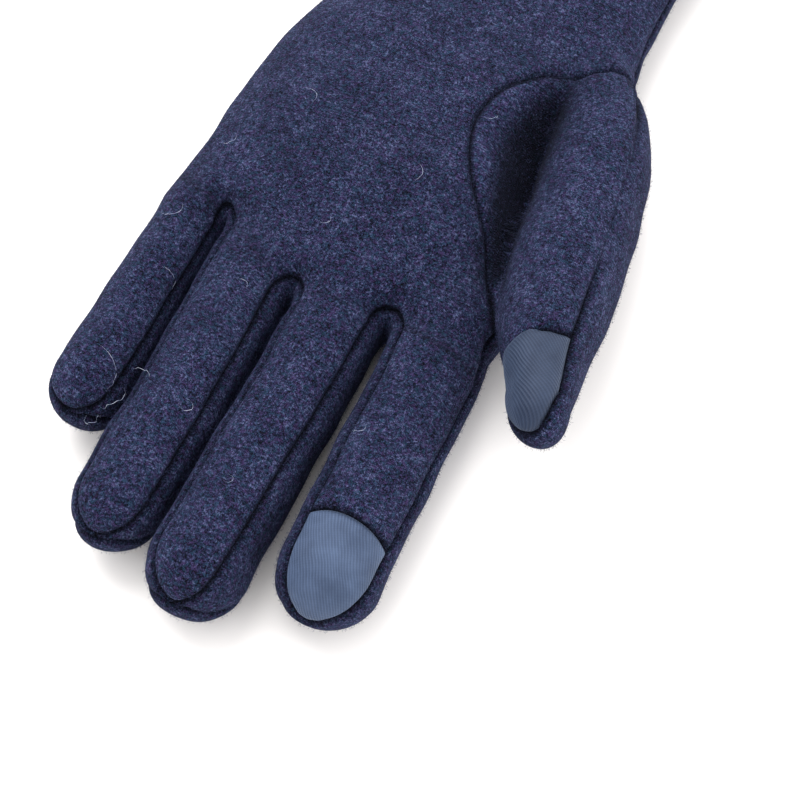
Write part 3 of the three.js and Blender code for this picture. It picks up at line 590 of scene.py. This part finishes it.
def thumbPiece(face, rows):
    # The thumb from its opening to its tip. Near the opening its rays stand square to the skin. u is
    # the turn round the thumb times its radius, v the place along the hand.
    seam = seamRays(thumbSeams[face], openingShares)
    rootY = meetSkin(*seam)[:, 1]
    angles = (skin["innerSeam"], pad if face > 0 else pad - 180, skin["outerSeam"])
    tubeRows = thumbAlong(np.maximum(rows, skin["thumbStart"])[:, None], openingShares[None])
    rays = [thumbRays(angle, rootY[None], face, tubeRows) for angle in angles]
    core, aim = [sum(w[:, None] * ray[part] for w, ray in zip(fanWeights(openingShares), rays))
                 for part in (0, 1)]
    aim = unit(aim)
    start = np.count_nonzero(rows < skin["thumbStart"])
    if start:
        stretch = valleyNet if face > 0 else skinNet
        square = stretch(seam, (core[start], aim[start]), rows[1:start] / skin["thumbStart"])
        root = joinRows((seam[0][None], seam[1][None]), square)
        core = np.concatenate([root[0], core[start:]])
        aim = np.concatenate([root[1], aim[start:]])
    p = meetSkin(core, aim)
    if face > 0 and start:
        p, aim = evenNet(p, aim, start)
    section = readTable(thumbSections, p[..., 1])
    bearing = np.arctan2(p[..., 2] - section[..., 2], p[..., 0] - section[..., 1])
    turn = np.mod(bearing - math.radians(pad) + math.pi * (2 - face) / 2, 2 * math.pi)
    return netOf((core, aim), p, -turn * section[..., 3], p[..., 1])


# Slow waves of slack: turn to a millimetre along x, y and z, height, phase
slackWaves = np.array([
    [0.21, 0.12, 0.10, 0.16, 0.4],
    [-0.13, 0.26, 0.16, 0.13, 1.9],
    [0.34, -0.19, -0.12, 0.09, 3.1],
    [0.10, 0.47, 0.21, 0.07, 5.2],
    [0.55, 0.33, -0.30, 0.05, 0.8],
])


def softRelief(p):
    # Slack in the cloth: a sum of waves in different directions, each a sine of the place
    return sum(wave[3] * np.sin(p @ wave[:3] + wave[4]) for wave in slackWaves)


def rimRoom(points, rim):
    # Distance from each point to the sewn edge, three points to a stretch, up to a reach of 9 mm
    reach = 9.0
    blockSize = 1500
    room = np.full(len(points), reach)
    dense = np.concatenate([mix(points[rim[:, 0]], points[rim[:, 1]], s) for s in (0, 0.34, 0.67)])
    for start in range(0, len(points), blockSize):
        block = points[start:start + blockSize]
        low = block.min(0) - reach
        high = block.max(0) + reach
        near = dense[((dense > low) & (dense < high)).all(1)]
        if len(near):
            square = ((block[:, None] - near[None]) ** 2).sum(-1).min(1)
            room[start:start + blockSize] = np.minimum(np.sqrt(square), reach)
    return room


def fillMesh(mesh, points, faces, uv=None, smoothCount=None):
    # Writes points and four-cornered faces; a corner that repeats the next one is left out
    kept = faces != np.roll(faces, -1, 1)
    whole = kept.sum(1) > 2
    kept = kept[whole]
    faces = faces[whole]
    totals = kept.sum(1)
    mesh.vertices.add(len(points))
    mesh.vertices.foreach_set("co", points.astype(np.float32).ravel())
    mesh.loops.add(int(totals.sum()))
    mesh.loops.foreach_set("vertex_index", faces[kept].astype(np.int32))
    mesh.polygons.add(len(faces))
    mesh.polygons.foreach_set("loop_start", (np.cumsum(totals) - totals).astype(np.int32))
    shaded = np.ones(len(whole), bool)
    if smoothCount is not None:
        shaded[smoothCount:] = False
    mesh.polygons.foreach_set("use_smooth", shaded[whole])
    if uv is not None:
        layer = mesh.uv_layers.new(name="clothMap")
        layer.data.foreach_set("uv", uv[whole][kept].astype(np.float32).ravel())
    mesh.update(calc_edges=True)


# The shell of cloth: its walls, its grooves at the seams and above the hem, the swell beside a seam,
# the painted shade in seams and folds, and how slack and swell fade close to the floor
cloth = dict(
    wall=1.6, hemWall=3.0, hemLength=15.0, hemMargin=0.5, hemGroove=0.55, hemGrooveWidth=0.8,
    cuffMargin=0.2, grooveDepth=1.0, grooveWidth=0.6, puffHeight=0.25, puffPlace=3.0, puffWidth=2.2,
    seamFlatness=0.85, shadeWidth=0.8, foldReach=14, floorClear=0.2, floorRoom=2.5, floorWall=0.9,
    mergeDigits=2,
)


def bell(distance, width):
    return np.exp(-((distance / width) ** 2))


def closedIn(p, aim):
    # How far the fold between palm and thumb closes over a point, which sets the painted shade there:
    # 1 less the skin's distance at foldReach out along the point's direction, as a share of foldReach
    reach = cloth["foldReach"]
    return regionShare(p, foldRegion) * (1 - smooth(skinDistance(p + reach * aim) / reach))


def inRow(points):
    # From millimetres in the pattern's frame to metres in the row's frame
    return (points + originShift) / 1000


def addObject(name, data):
    thing = bpy.data.objects.new(name, data)
    bpy.context.scene.collection.objects.link(thing)
    return thing


def netQuads(net, start, outers, aims):
    # Corners of a net's cells, counted from start and turned so that they face along their rays
    n, m = net["u"].shape
    grid = start + np.arange(n * m).reshape(n, m)
    quads = np.stack([grid[:-1, :-1], grid[:-1, 1:], grid[1:, 1:], grid[1:, :-1]], -1).reshape(-1, 4)
    a, b, d = (outers[quads[:, k]] for k in (0, 1, 3))
    facing = (np.cross(b - a, d - a) * aims[quads[:, 0]]).sum()
    return quads if facing > 0 else quads[:, ::-1]


def sewnCloth(name, slot, nets, material):
    # A closed shell of cloth. Its outer face sinks into a groove at the sewn edge, by a bell curve
    # of the distance to it, and swells a little beside the groove. The inner face lies one wall
    # further in, and a rim joins the two.
    outers = np.concatenate([net["outer"].reshape(-1, 3) for net in nets])
    aims = np.concatenate([net["aim"].reshape(-1, 3) for net in nets])
    pattern = np.concatenate([np.stack([net["u"], net["v"]], -1).reshape(-1, 2) for net in nets])
    starts = np.cumsum([0] + [net["u"].size for net in nets])
    corners = np.concatenate([netQuads(net, start, outers, aims) for net, start in zip(nets, starts)])
    rounded = np.round(outers, cloth["mergeDigits"])
    _, first, merged = np.unique(rounded, axis=0, return_index=True, return_inverse=True)
    quads = merged.ravel()[corners]
    outer = outers[first]
    aim = aims[first]
    count = len(outer)
    edges = np.stack([quads, np.roll(quads, -1, 1)], -1).reshape(-1, 2)
    edges = edges[edges[:, 0] != edges[:, 1]]
    keys = edges[:, 0] * count + edges[:, 1]
    rim = edges[~np.isin(edges[:, 1] * count + edges[:, 0], keys)]
    atCuff = (outer[rim][:, :, 1] > skin["cuffY"] - cloth["cuffMargin"]).all(1)
    room = rimRoom(outer, rim[~atCuff])
    seam = 1 - cloth["seamFlatness"] * regionShare(outer, flatOuterSeam)
    seam = seam * (1 - regionShare(outer, flatInnerSeam))
    hemY = skin["cuffY"] - cloth["hemLength"]
    groove = seam * cloth["grooveDepth"] * bell(room, cloth["grooveWidth"])
    groove = groove + cloth["hemGroove"] * bell(outer[:, 1] - hemY, cloth["hemGrooveWidth"])
    puff = cloth["puffHeight"] * bell(room - cloth["puffPlace"], cloth["puffWidth"])
    offFloor = smooth((outer[:, 2] - cloth["floorClear"]) / cloth["floorRoom"])
    shown = outer + aim * ((puff + softRelief(outer)) * offFloor - groove)[:, None]
    shown[:, 2] = np.maximum(shown[:, 2], 0)
    wall = np.where(outer[:, 1] > hemY - cloth["hemMargin"], cloth["hemWall"], cloth["wall"])
    inner = outer - wall[:, None] * aim
    inner[:, 2] = np.maximum(inner[:, 2], cloth["floorWall"] * cloth["wall"])
    a, b = rim.T
    rimQuads = np.stack([b, a, a + count, b + count], -1)
    faces = np.concatenate([quads, quads[:, ::-1] + count, rimQuads])
    uv = np.concatenate([pattern[corners], pattern[corners[:, ::-1]], np.zeros((len(rimQuads), 4, 2))])
    mesh = bpy.data.meshes.new(name)
    fillMesh(mesh, inRow(np.concatenate([shown, inner])), faces, uv, len(faces) - len(rimQuads))
    # Painted shade: darker close to the seams and where the fold between palm and thumb closes in
    mottleAndPaintedShading = np.maximum(seam * bell(room, cloth["shadeWidth"]), closedIn(outer, aim))
    shade = mesh.attributes.new("paintedSeamAndFoldShade", "FLOAT", "POINT")
    shade.data.foreach_set("value", np.concatenate([mottleAndPaintedShading, np.zeros(count)]).astype(np.float32))
    mesh.materials.append(material)
    obj = addObject(name, mesh)
    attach(obj, "root")
    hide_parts(slot["node"])
    print(name, 2 * count, "points")
    return dict(points=shown, aim=aim, cells=quads[(quads != np.roll(quads, -1, 1)).all(1)])


def linear(colour):
    # sRGB hex to linear
    parts = [int(colour[i:i + 2], 16) / 255 for i in (1, 3, 5)]
    return [c / 12.92 if c <= 0.04045 else ((c + 0.055) / 1.055) ** 2.4 for c in parts] + [1.0]


def addNode(tree, kind, inputs, output=0, **settings):
    # Adds a node with its settings and gives back one of its outputs. An input is a value, or
    # another node's output, which is linked.
    node = tree.nodes.new("ShaderNode" + kind)
    for key, value in settings.items():
        setattr(node, key, value)
    for key, value in inputs.items():
        if isinstance(value, bpy.types.NodeSocket):
            tree.links.new(value, node.inputs[key])
        else:
            node.inputs[key].default_value = value
    return node.outputs[output] if node.outputs else None


def weightedSum(tree, parts):
    # Sum of each value times its weight
    total = 0.0
    for value, weight in parts:
        total = addNode(tree, "Math", {0: value, 1: weight, 2: total}, operation="MULTIPLY_ADD")
    return total


def waveOf(tree, parts):
    # Sine of a weighted sum that counts full turns
    turned = weightedSum(tree, [(value, 2 * math.pi * weight) for value, weight in parts])
    return addNode(tree, "Math", {0: turned}, operation="SINE")


def layColours(tree, look, colour, parts):
    # Lays the look's colours over each other: each covers up to its most as its part goes from bare
    # to full, by a smooth step
    for part, bare, full, most, over in look["layers"]:
        share = addNode(tree, "MapRange", {0: parts[part], 1: bare, 2: full, 4: most},
                        interpolation_type="SMOOTHSTEP")
        inputs = {0: share, 6: colour, 7: linear(look[over])}
        colour = addNode(tree, "Mix", inputs, output=2, data_type="RGBA")
    return colour


def finishShader(tree, look, inputs):
    # Shades the material by the inputs and by the look's roughness and shine
    shared = {"Roughness": look["roughness"], "Specular IOR Level": look["shine"]}
    addNode(tree, "OutputMaterial", {0: addNode(tree, "BsdfPrincipled", {**shared, **inputs})})


def newMaterial(name):
    material = bpy.data.materials.new(name)
    material.use_nodes = True
    tree = material.node_tree
    tree.nodes.clear()
    return material, tree


def clothPlaces(tree):
    # The cloth's own map, its two lengths in millimetres, and the place in metres
    cloth = addNode(tree, "UVMap", {}, uv_map="clothMap")
    across, along = [addNode(tree, "SeparateXYZ", {0: cloth}, output=axis) for axis in ("X", "Y")]
    return cloth, across, along, addNode(tree, "TexCoord", {}, output="Object")


def finishCloth(tree, look, colour, height):
    # Lays painted shade over the colour in the seams and folds, raises the height and shades it all as
    # cloth
    seam = addNode(tree, "Attribute", {}, output="Fac", attribute_name="paintedSeamAndFoldShade")
    cover = addNode(tree, "Math", {0: seam, 1: look["seamCover"]}, operation="MULTIPLY")
    inputs = {0: cover, 6: colour, 7: linear(look["seamShade"])}
    colour = addNode(tree, "Mix", inputs, output=2, data_type="RGBA")
    bump = addNode(tree, "Bump", {
        "Strength": look["relief"], "Distance": look["reliefHeight"], "Height": height})
    finishShader(tree, look, {
        "Base Color": colour, "Sheen Weight": look["sheen"], "Sheen Roughness": look["sheenRoughness"],
        "Sheen Tint": linear(look["sheenTint"]), "Normal": bump})


# A noise's scale is its spots to a metre: a fleck of fibres is 0.5 mm wide, the nap's gaps 0.3 mm, a
# tuft 1.4 mm, a cloud 9 mm. Wobble and bend count spots to a millimetre.
# A layer has the part that it goes by, where it is bare and full, its cover and its colour.
fleeceLook = dict(
    shadow="#04050d", body="#303554", lit="#6e7599", plum="#4f3d68", teal="#325067",
    # The nap layer darkens the nap's gaps, where the relief is low, towards nearly black: painted shade
    layers=(("mottleAndPaintedShading", 0.62, 0.88, 1.0, "body"), ("mottleAndPaintedShading", 0.84, 1.1, 1.0, "lit"),
            ("hue", 0.53, 0.62, 0.6, "plum"), ("hue", 0.47, 0.38, 0.6, "teal"),
            ("nap", 0.52, 0.36, 0.6, "shadow")),
    # The mottle is random tone, except the stitches' small share, which paints their raised legs a little
    # lighter: painted light
    wornShares=dict(fleck=1.0, stitch=0.1, tuft=0.35, cloud=0.25),
    reliefShares=dict(stitch=0.5, nap=0.6, fleck=0.9),
    # seamShade is the colour of the painted shade in the seams and the fold
    seamShade="#020308", seamCover=0.85, sheenTint="#9299c0",
    stitchAcross=0.78, stitchAlong=0.62,  # the knit is 0.55 mm; drawn coarser so that it shows
    wobbleNoise={"Scale": 0.35, "Detail": 1.0, "Roughness": 0.5}, wobble=1.2, legSlant=1.5, legShare=0.4,
    fleckNoise={"Scale": 1900.0, "Detail": 2.0, "Roughness": 0.7},
    napNoise={"Scale": 3600.0, "Detail": 1.0, "Roughness": 0.5},
    tuftNoise={"Scale": 700.0, "Detail": 1.0, "Roughness": 0.5},
    cloudNoise={"Scale": 110.0, "Detail": 3.0, "Roughness": 0.6},
    hueNoise={"Scale": 1100.0, "Detail": 3.0, "Roughness": 0.75}, hueShift=(4.0, 0.7, 0.2),
    roughness=0.94, shine=0.12, sheen=0.1, sheenRoughness=0.35, relief=1.0, reliefHeight=0.0006,
)


def brushedFleeceJersey():
    # Brushed polyester and viscose jersey: knitted, then its face raised by wire brushes. That gives
    # faint columns of V stitches under a short matt nap that pales at grazing angles, in a heather
    # of navy, plum, teal and nearly black fibres.
    look = fleeceLook
    material, tree = newMaterial("brushedFleeceJersey")
    cloth, across, along, place = clothPlaces(tree)
    shifted = addNode(tree, "Mapping", {"Vector": place, "Location": look["hueShift"]})
    places = dict(wobble=cloth, fleck=place, nap=place, tuft=place, cloud=place, hue=shifted)
    parts = {part: addNode(tree, "TexNoise", {"Vector": where, **look[part + "Noise"]})
             for part, where in places.items()}
    columns = weightedSum(tree, ((across, 1 / look["stitchAcross"]),
                                 (parts["wobble"], look["wobble"] / look["stitchAcross"])))
    column = addNode(tree, "Math", {0: columns, 1: 0.5}, operation="PINGPONG")
    leg = waveOf(tree, ((along, 1 / look["stitchAlong"]), (column, look["legSlant"])))
    legs = addNode(tree, "Math", {0: leg, 1: look["legShare"], 2: 1 - look["legShare"]},
                   operation="MULTIPLY_ADD")
    ridge = waveOf(tree, ((column, 1),))
    parts["stitch"] = addNode(tree, "Math", {0: ridge, 1: legs}, operation="MULTIPLY")
    parts["mottleAndPaintedShading"] = weightedSum(tree, [(parts[k], w) for k, w in look["wornShares"].items()])
    height = weightedSum(tree, [(parts[k], w) for k, w in look["reliefShares"].items()])
    finishCloth(tree, look, layColours(tree, look, linear(look["shadow"]), parts), height)
    return material


twillLook = dict(
    # shade is a painted shade colour that may cover a whole patch
    base="#3f4d68", dip="#27354a", lit="#5a6b86", baseCover=0.45, shade="#000a24",
    heightShare=0.12, cloudShare=0.9, layers=(("tone", 0.15, 0.85, 1.0, "lit"),),
    # seamShade is the colour of the painted shade in the seams
    seamShade="#0b1020", seamCover=0.75, sheenTint="#a9bcdc",
    rib=0.62, pick=0.5, pickShare=0.2,  # the ribs are 0.4 mm apart; drawn coarser so that they show
    bendNoise={"Scale": 0.12, "Detail": 1.0, "Roughness": 0.5}, bend=1.6,
    cloudNoise={"Scale": 160.0, "Detail": 3.0, "Roughness": 0.6},
    roughness=0.62, shine=0.4, sheen=0.25, sheenRoughness=0.4, relief=0.5, reliefHeight=0.00012,
)


def conductiveTwill(name, turn, shade):
    # Conductive polyester twill: smooth filament yarn woven in fine diagonal ribs, so it shines a
    # little more than the jersey and shows its ribs as even lines. turn lays the ribs over it, in
    # degrees; shade darkens all of it with painted shade, as ribs look that run across the light.
    look = twillLook
    material, tree = newMaterial(name)
    cloth, across, along, place = clothPlaces(tree)
    parts = {part: addNode(tree, "TexNoise", {"Vector": where, **look[part + "Noise"]})
             for part, where in (("bend", cloth), ("cloud", place))}
    turnX = math.cos(math.radians(turn))
    turnY = math.sin(math.radians(turn))
    rib = waveOf(tree, ((across, turnX / look["rib"]), (along, turnY / look["rib"]),
                        (parts["bend"], look["bend"] / look["rib"])))
    pick = waveOf(tree, ((along, turnX / look["pick"]), (across, -turnY / look["pick"])))
    height = weightedSum(tree, ((rib, 1.0), (pick, look["pickShare"])))
    # Partly painted light and shade: the ribs' height share makes their crests lighter and hollows
    # darker; the cloud's share is random tone
    tone = weightedSum(tree, ((height, look["heightShare"]), (parts["cloud"], look["cloudShare"])))
    colour = layColours(tree, look, linear(look["dip"]), dict(tone=tone))
    # The base colour, then painted shade by the given share
    for share, over in ((look["baseCover"], "base"), (shade, "shade")):
        inputs = {0: share, 6: colour, 7: linear(look[over])}
        colour = addNode(tree, "Mix", inputs, output=2, data_type="RGBA")
    finishCloth(tree, look, colour, height)
    return material


fibreLook = dict(
    shadeNoise={"Scale": 900.0, "Detail": 1.0, "Roughness": 0.5}, roughness=0.8, shine=0.2,
    layers=(("shade", 0.35, 0.65, 1.0, "light"),),
)


def looseFibre(name, light, dark):
    # Loose polyester fibre, dyed with the cloth: dull, and lighter along some stretches
    look = dict(fibreLook, light=light)
    material, tree = newMaterial(name)
    place = addNode(tree, "TexCoord", {}, output="Object")
    shade = addNode(tree, "TexNoise", {"Vector": place, **look["shadeNoise"]})
    finishShader(tree, look, {"Base Color": layColours(tree, look, linear(dark), dict(shade=shade))})
    return material


def fibrePiece(name, spines, radius, material):
    # Fibres as closed three-sided tubes along their spines, pointed at both ends: the ring at share
    # t of a spine has the radius times the root of sin(pi t)
    number, count, _ = spines.shape
    sides = 3
    crosswise = upward + 0.3 * thumbward  # hardly a fibre lies along it
    along = unit(spines[:, -1] - spines[:, 0])
    side = unit(np.cross(along, crosswise))
    other = np.cross(along, side)
    t = np.arange(1, count - 1) / (count - 1)
    wide = (radius * np.sqrt(np.sin(np.pi * t)))[None, :, None, None]
    angles = 2 * np.pi * np.arange(sides) / sides
    ring = side[:, None, None] * np.cos(angles)[:, None] + other[:, None, None] * np.sin(angles)[:, None]
    rings = spines[:, 1:-1, None] + wide * ring
    points = np.concatenate([spines[:, :1], rings.reshape(number, -1, 3), spines[:, -1:]], 1)
    total = points.shape[1]
    j = np.arange(sides)
    k = np.roll(j, -1)
    starts = 1 + sides * np.arange(count - 2)
    levels = [np.stack([a + j, a + k, b + k, b + j], -1) for a, b in zip(starts, starts[1:])]
    root = np.stack([0 * j, 0 * j, starts[0] + k, starts[0] + j], -1)
    last = 0 * j + total - 1
    tip = np.stack([starts[-1] + j, starts[-1] + k, last, last], -1)
    pattern = np.concatenate([root, *levels, tip])
    faces = (pattern[None] + total * np.arange(number)[:, None, None]).reshape(-1, 4)
    mesh = bpy.data.meshes.new(name)
    fillMesh(mesh, inRow(points.reshape(-1, 3)), faces)
    mesh.materials.append(material)
    obj = addObject(name, mesh)
    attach(obj, "root")
    print(name, number, "fibres")


# A raised fibre is 0.015 mm thick; drawn coarser and fewer, so that the nap shows as a haze. In
# shares of its length, its middle stands up by rise and leans by bow, and its tip leans by reach; the
# tip stands tipRise times as high as the middle.
fuzzLook = dict(
    number=33000, gussetShare=0.3, radius=0.02, shortest=0.4, longest=1.0, rise=(0.25, 0.75),
    bow=0.35, tipRise=(0.4, 1.5), reach=0.9, rootDepth=0.2, floorClear=0.1,
    light="#596089", dark="#171b30",
)


def nap(pieces, number, seed):
    # Spines of short raised fibres, spread evenly over the cloth's outer faces. Each leaves the
    # cloth square to it and bows over sideways.
    random = np.random.default_rng(seed)
    chosen = []
    for piece in pieces:
        corners = piece["points"][piece["cells"]]
        diagonals = np.cross(corners[:, 2] - corners[:, 0], corners[:, 3] - corners[:, 1])
        chosen.append((corners, piece["aim"][piece["cells"]], np.linalg.norm(diagonals, axis=1)))
    corners, aims, size = (np.concatenate([c[part] for c in chosen]) for part in (0, 1, 2))
    pick = random.choice(len(size), number, p=size / size.sum())
    s, t = random.random((2, number, 1))
    weights = [(1 - s) * (1 - t), s * (1 - t), s * t, (1 - s) * t]
    base = sum(w * corners[pick, k] for k, w in enumerate(weights))
    out = unit(sum(w * aims[pick, k] for k, w in enumerate(weights)))
    lean = random.normal(size=(number, 3))
    lean = unit(lean - (lean * out).sum(-1, keepdims=True) * out)
    length = random.uniform(fuzzLook["shortest"], fuzzLook["longest"], (number, 1))
    rise = random.uniform(*fuzzLook["rise"], (number, 1))
    tipRise = rise * random.uniform(*fuzzLook["tipRise"], (number, 1))
    middle = base + out * length * rise + lean * length * fuzzLook["bow"]
    tip = base + out * length * tipRise + lean * length * fuzzLook["reach"]
    spines = np.stack([base - fuzzLook["rootDepth"] * out, middle, tip], 1)
    spines[..., 2] = np.maximum(spines[..., 2], fuzzLook["floorClear"])
    return spines


# Loose fibres that cling to the cloth: x and y of the middle, length, turn, curl in turns, lift
lintRows = np.array([
    [-41.2, 2.5, 9, 0.6, 0.55, 0.5], [-33.5, -38.5, 12, 2.1, 0.35, 0.6], [-29, -44, 10, 1.2, 0.45, 0.5],
    [-31.5, -50, 8, 0.2, 0.7, 0.7], [-27, -36, 7, 2.8, 0.3, 0.4], [-14.5, -40, 8, 1, 0.85, 0.5],
    [-34, -12, 6, 2.4, 0.5, 0.5], [-8, 12, 5, 0.9, 0.6, 0.5], [6, 30, 6, 1.7, 0.4, 0.4],
    [-25, 40, 7, 2.2, 0.45, 0.4], [20, -30, 6, 0.3, 0.65, 0.5], [2, -52, 5, 1.4, 0.75, 0.5],
    [-38, 24, 6, 0.8, 0.5, 0.5], [-18, -8, 5, 2.6, 0.55, 0.4], [14, 52, 6, 1.1, 0.4, 0.4],
])
# Lint is 0.02 mm thick; drawn coarser so that it shows
lintLook = dict(radius=0.055, points=16, clear=0.35, wave=7, light="#c8cede", dark="#8d95b0")


def lintSpines(surface):
    # The heading turns evenly along a fibre, and its cosine and sine are summed up to the course. A
    # fibre floats over the cloth's nearest points and waves up and down by a cosine.
    count = lintLook["points"]
    t = np.linspace(-0.5, 0.5, count)[None, :, None]
    x, y, length, turn, curl, lift = lintRows.T[:, :, None, None]
    heading = turn + 2 * np.pi * curl * t
    course = np.cumsum(np.concatenate([np.cos(heading), np.sin(heading)], -1), 1) * (length / count)
    course = course - course.mean(1, keepdims=True) + np.concatenate([x, y], -1)
    surface = surface[::3]  # every third point is near enough
    nearest = ((course.reshape(-1, 1, 2) - surface[None, :, :2]) ** 2).sum(-1).argmin(1)
    height = surface[nearest, 2].reshape(len(lintRows), count, 1)
    height = height + lintLook["clear"] + lift * (0.5 + 0.5 * np.cos(lintLook["wave"] * t + turn))
    return np.concatenate([course, height], -1)


print("sewing the panels")
fleece = brushedFleeceJersey()
palmFingers = [fingerPiece(f, 1, shaftRows if f["name"] == "index" else fingerRows) for f in fingers]
backFingers = [fingerPiece(f, -1, fingerRows) for f in fingers]
thumbShaft = np.concatenate([
    skin["thumbStart"] * spread(fineness["thumbRoot"]),
    mix(skin["thumbStart"], skin["patchStart"], spread(fineness["thumbShaft"]))[1:]])
thumbTip = np.concatenate([patchRows, 1 + spread(fineness["thumbTip"])[1:]])
gussets = ("little_ring", "ring_middle", "middle_index")
sewn = {}
sewn["palm"] = sewnCloth("palm_cloth", dict(slot="fleece", node="palm_panel"),
                         [handPiece(1, palmFingers), *palmFingers], fleece)
sewn["back"] = sewnCloth("back_cloth", dict(slot="fleece", node="back_panel"),
                         [handPiece(-1, backFingers), *backFingers], fleece)
for index, name in enumerate(gussets):
    sewn[name] = sewnCloth("gusset_" + name, dict(slot="fleece", node="fourchette_" + name),
                           [fourchettePiece(index)], fleece)
sewn["thumbFront"] = sewnCloth("thumb_front_cloth", dict(slot="fleece", node="thumb_front"),
                               [thumbPiece(1, thumbShaft)], fleece)
sewn["thumbBack"] = sewnCloth("thumb_back_cloth", dict(slot="fleece", node="thumb_back"),
                              [thumbPiece(-1, np.concatenate([thumbShaft, thumbTip[1:]]))], fleece)
indexTwill = conductiveTwill("conductiveTwillIndex", turn=25, shade=0.0)
# The thumb's patch is darkened by painted shade
thumbTwill = conductiveTwill("conductiveTwillThumb", turn=49, shade=0.55)
sewnCloth("index_patch_twill", dict(slot="touch_patch", node="index_touch_patch"),
          [fingerPiece(fingers[3], 1, tipRows)], indexTwill)
sewnCloth("thumb_patch_twill", dict(slot="touch_patch", node="thumb_touch_patch"),
          [thumbPiece(1, thumbTip)], thumbTwill)

print("raising the nap")
napFibre = looseFibre("raisedNapFibre", fuzzLook["light"], fuzzLook["dark"])
for name, parts, seed, share in (("nap_palm_side", ("palm", "thumbFront"), 5, 1),
                                 ("nap_back_side", ("back", "thumbBack"), 6, 1),
                                 ("nap_gussets", gussets, 7, fuzzLook["gussetShare"])):
    spines = nap([sewn[part] for part in parts], int(share * fuzzLook["number"]), seed)
    fibrePiece(name, spines, fuzzLook["radius"], napFibre)

print("scattering lint")
lintFibre = looseFibre("clingingLint", lintLook["light"], lintLook["dark"])
surface = np.concatenate([sewn[part]["points"] for part in ("palm", "thumbFront")])
fibrePiece("lint_fibres", lintSpines(surface), lintLook["radius"], lintFibre)

print("setting the floor, lights and camera")
# Metres in the row's frame. roughness and shine are the floor's; a light has its name, place, the
# spot that it aims at, its width and its power in watts.
studio = dict(
    floorTop="#f8f5f3", roughness=0.9, shine=0.1, floorSize=3.0, floorDrop=0.0004,
    sky="#ffffff", skyStrength=1.3,
    lights=(("tentTop", (-0.4, 0.3, 0.9), (0, 0, 0), 0.9, 6.0),
            ("tentRight", (0.9, 0.1, 0.45), (0, 0, 0.02), 0.6, 1.5)),
)
cardMaterial, cardTree = newMaterial("paleCard")
finishShader(cardTree, studio, {"Base Color": linear(studio["floorTop"])})
half = studio["floorSize"] / 2
floorCorners = np.array([[-half, -half, 0], [half, -half, 0], [half, half, 0], [-half, half, 0]])
floorMesh = bpy.data.meshes.new("floor")
fillMesh(floorMesh, floorCorners - studio["floorDrop"] * upward, np.array([[0, 1, 2, 3]]))
floorMesh.materials.append(cardMaterial)
floor = addObject("floor", floorMesh)

world = bpy.data.worlds.new("softTent")
world.use_nodes = True
sky = world.node_tree.nodes["Background"]
sky.inputs[0].default_value = linear(studio["sky"])
sky.inputs[1].default_value = studio["skyStrength"]
bpy.context.scene.world = world


def softLight(name, place, target, size, power):
    # A round area light that faces the target: it is turned by the way from the target to it
    data = bpy.data.lights.new(name, "AREA")
    data.shape = "DISK"
    data.size = size
    data.energy = power
    light = addObject(name, data)
    light.location = place
    x, y, z = np.array(place) - np.array(target)
    light.rotation_euler = (math.atan2(math.hypot(x, y), z), 0, math.atan2(x, -y))


for row in studio["lights"]:
    softLight(*row)

# Its place is in millimetres in the pattern's frame
photoCamera = dict(place=(96.09, -173.47, 313.11), azimuth=25, elevation=60, lens=74.03, sensor=36,
                   clipStart=0.01, transform="Standard", look="Medium High Contrast")
cameraData = bpy.data.cameras.new("photoCamera")
cameraData.lens = photoCamera["lens"]
cameraData.sensor_width = photoCamera["sensor"]
cameraData.clip_start = photoCamera["clipStart"]
camera = addObject("photoCamera", cameraData)
camera.location = inRow(np.array(photoCamera["place"]))
camera.rotation_euler = (math.radians(90 - photoCamera["elevation"]), 0,
                         math.radians(photoCamera["azimuth"]))
bpy.context.scene.camera = camera
bpy.context.scene.view_settings.view_transform = photoCamera["transform"]
bpy.context.scene.view_settings.look = photoCamera["look"]
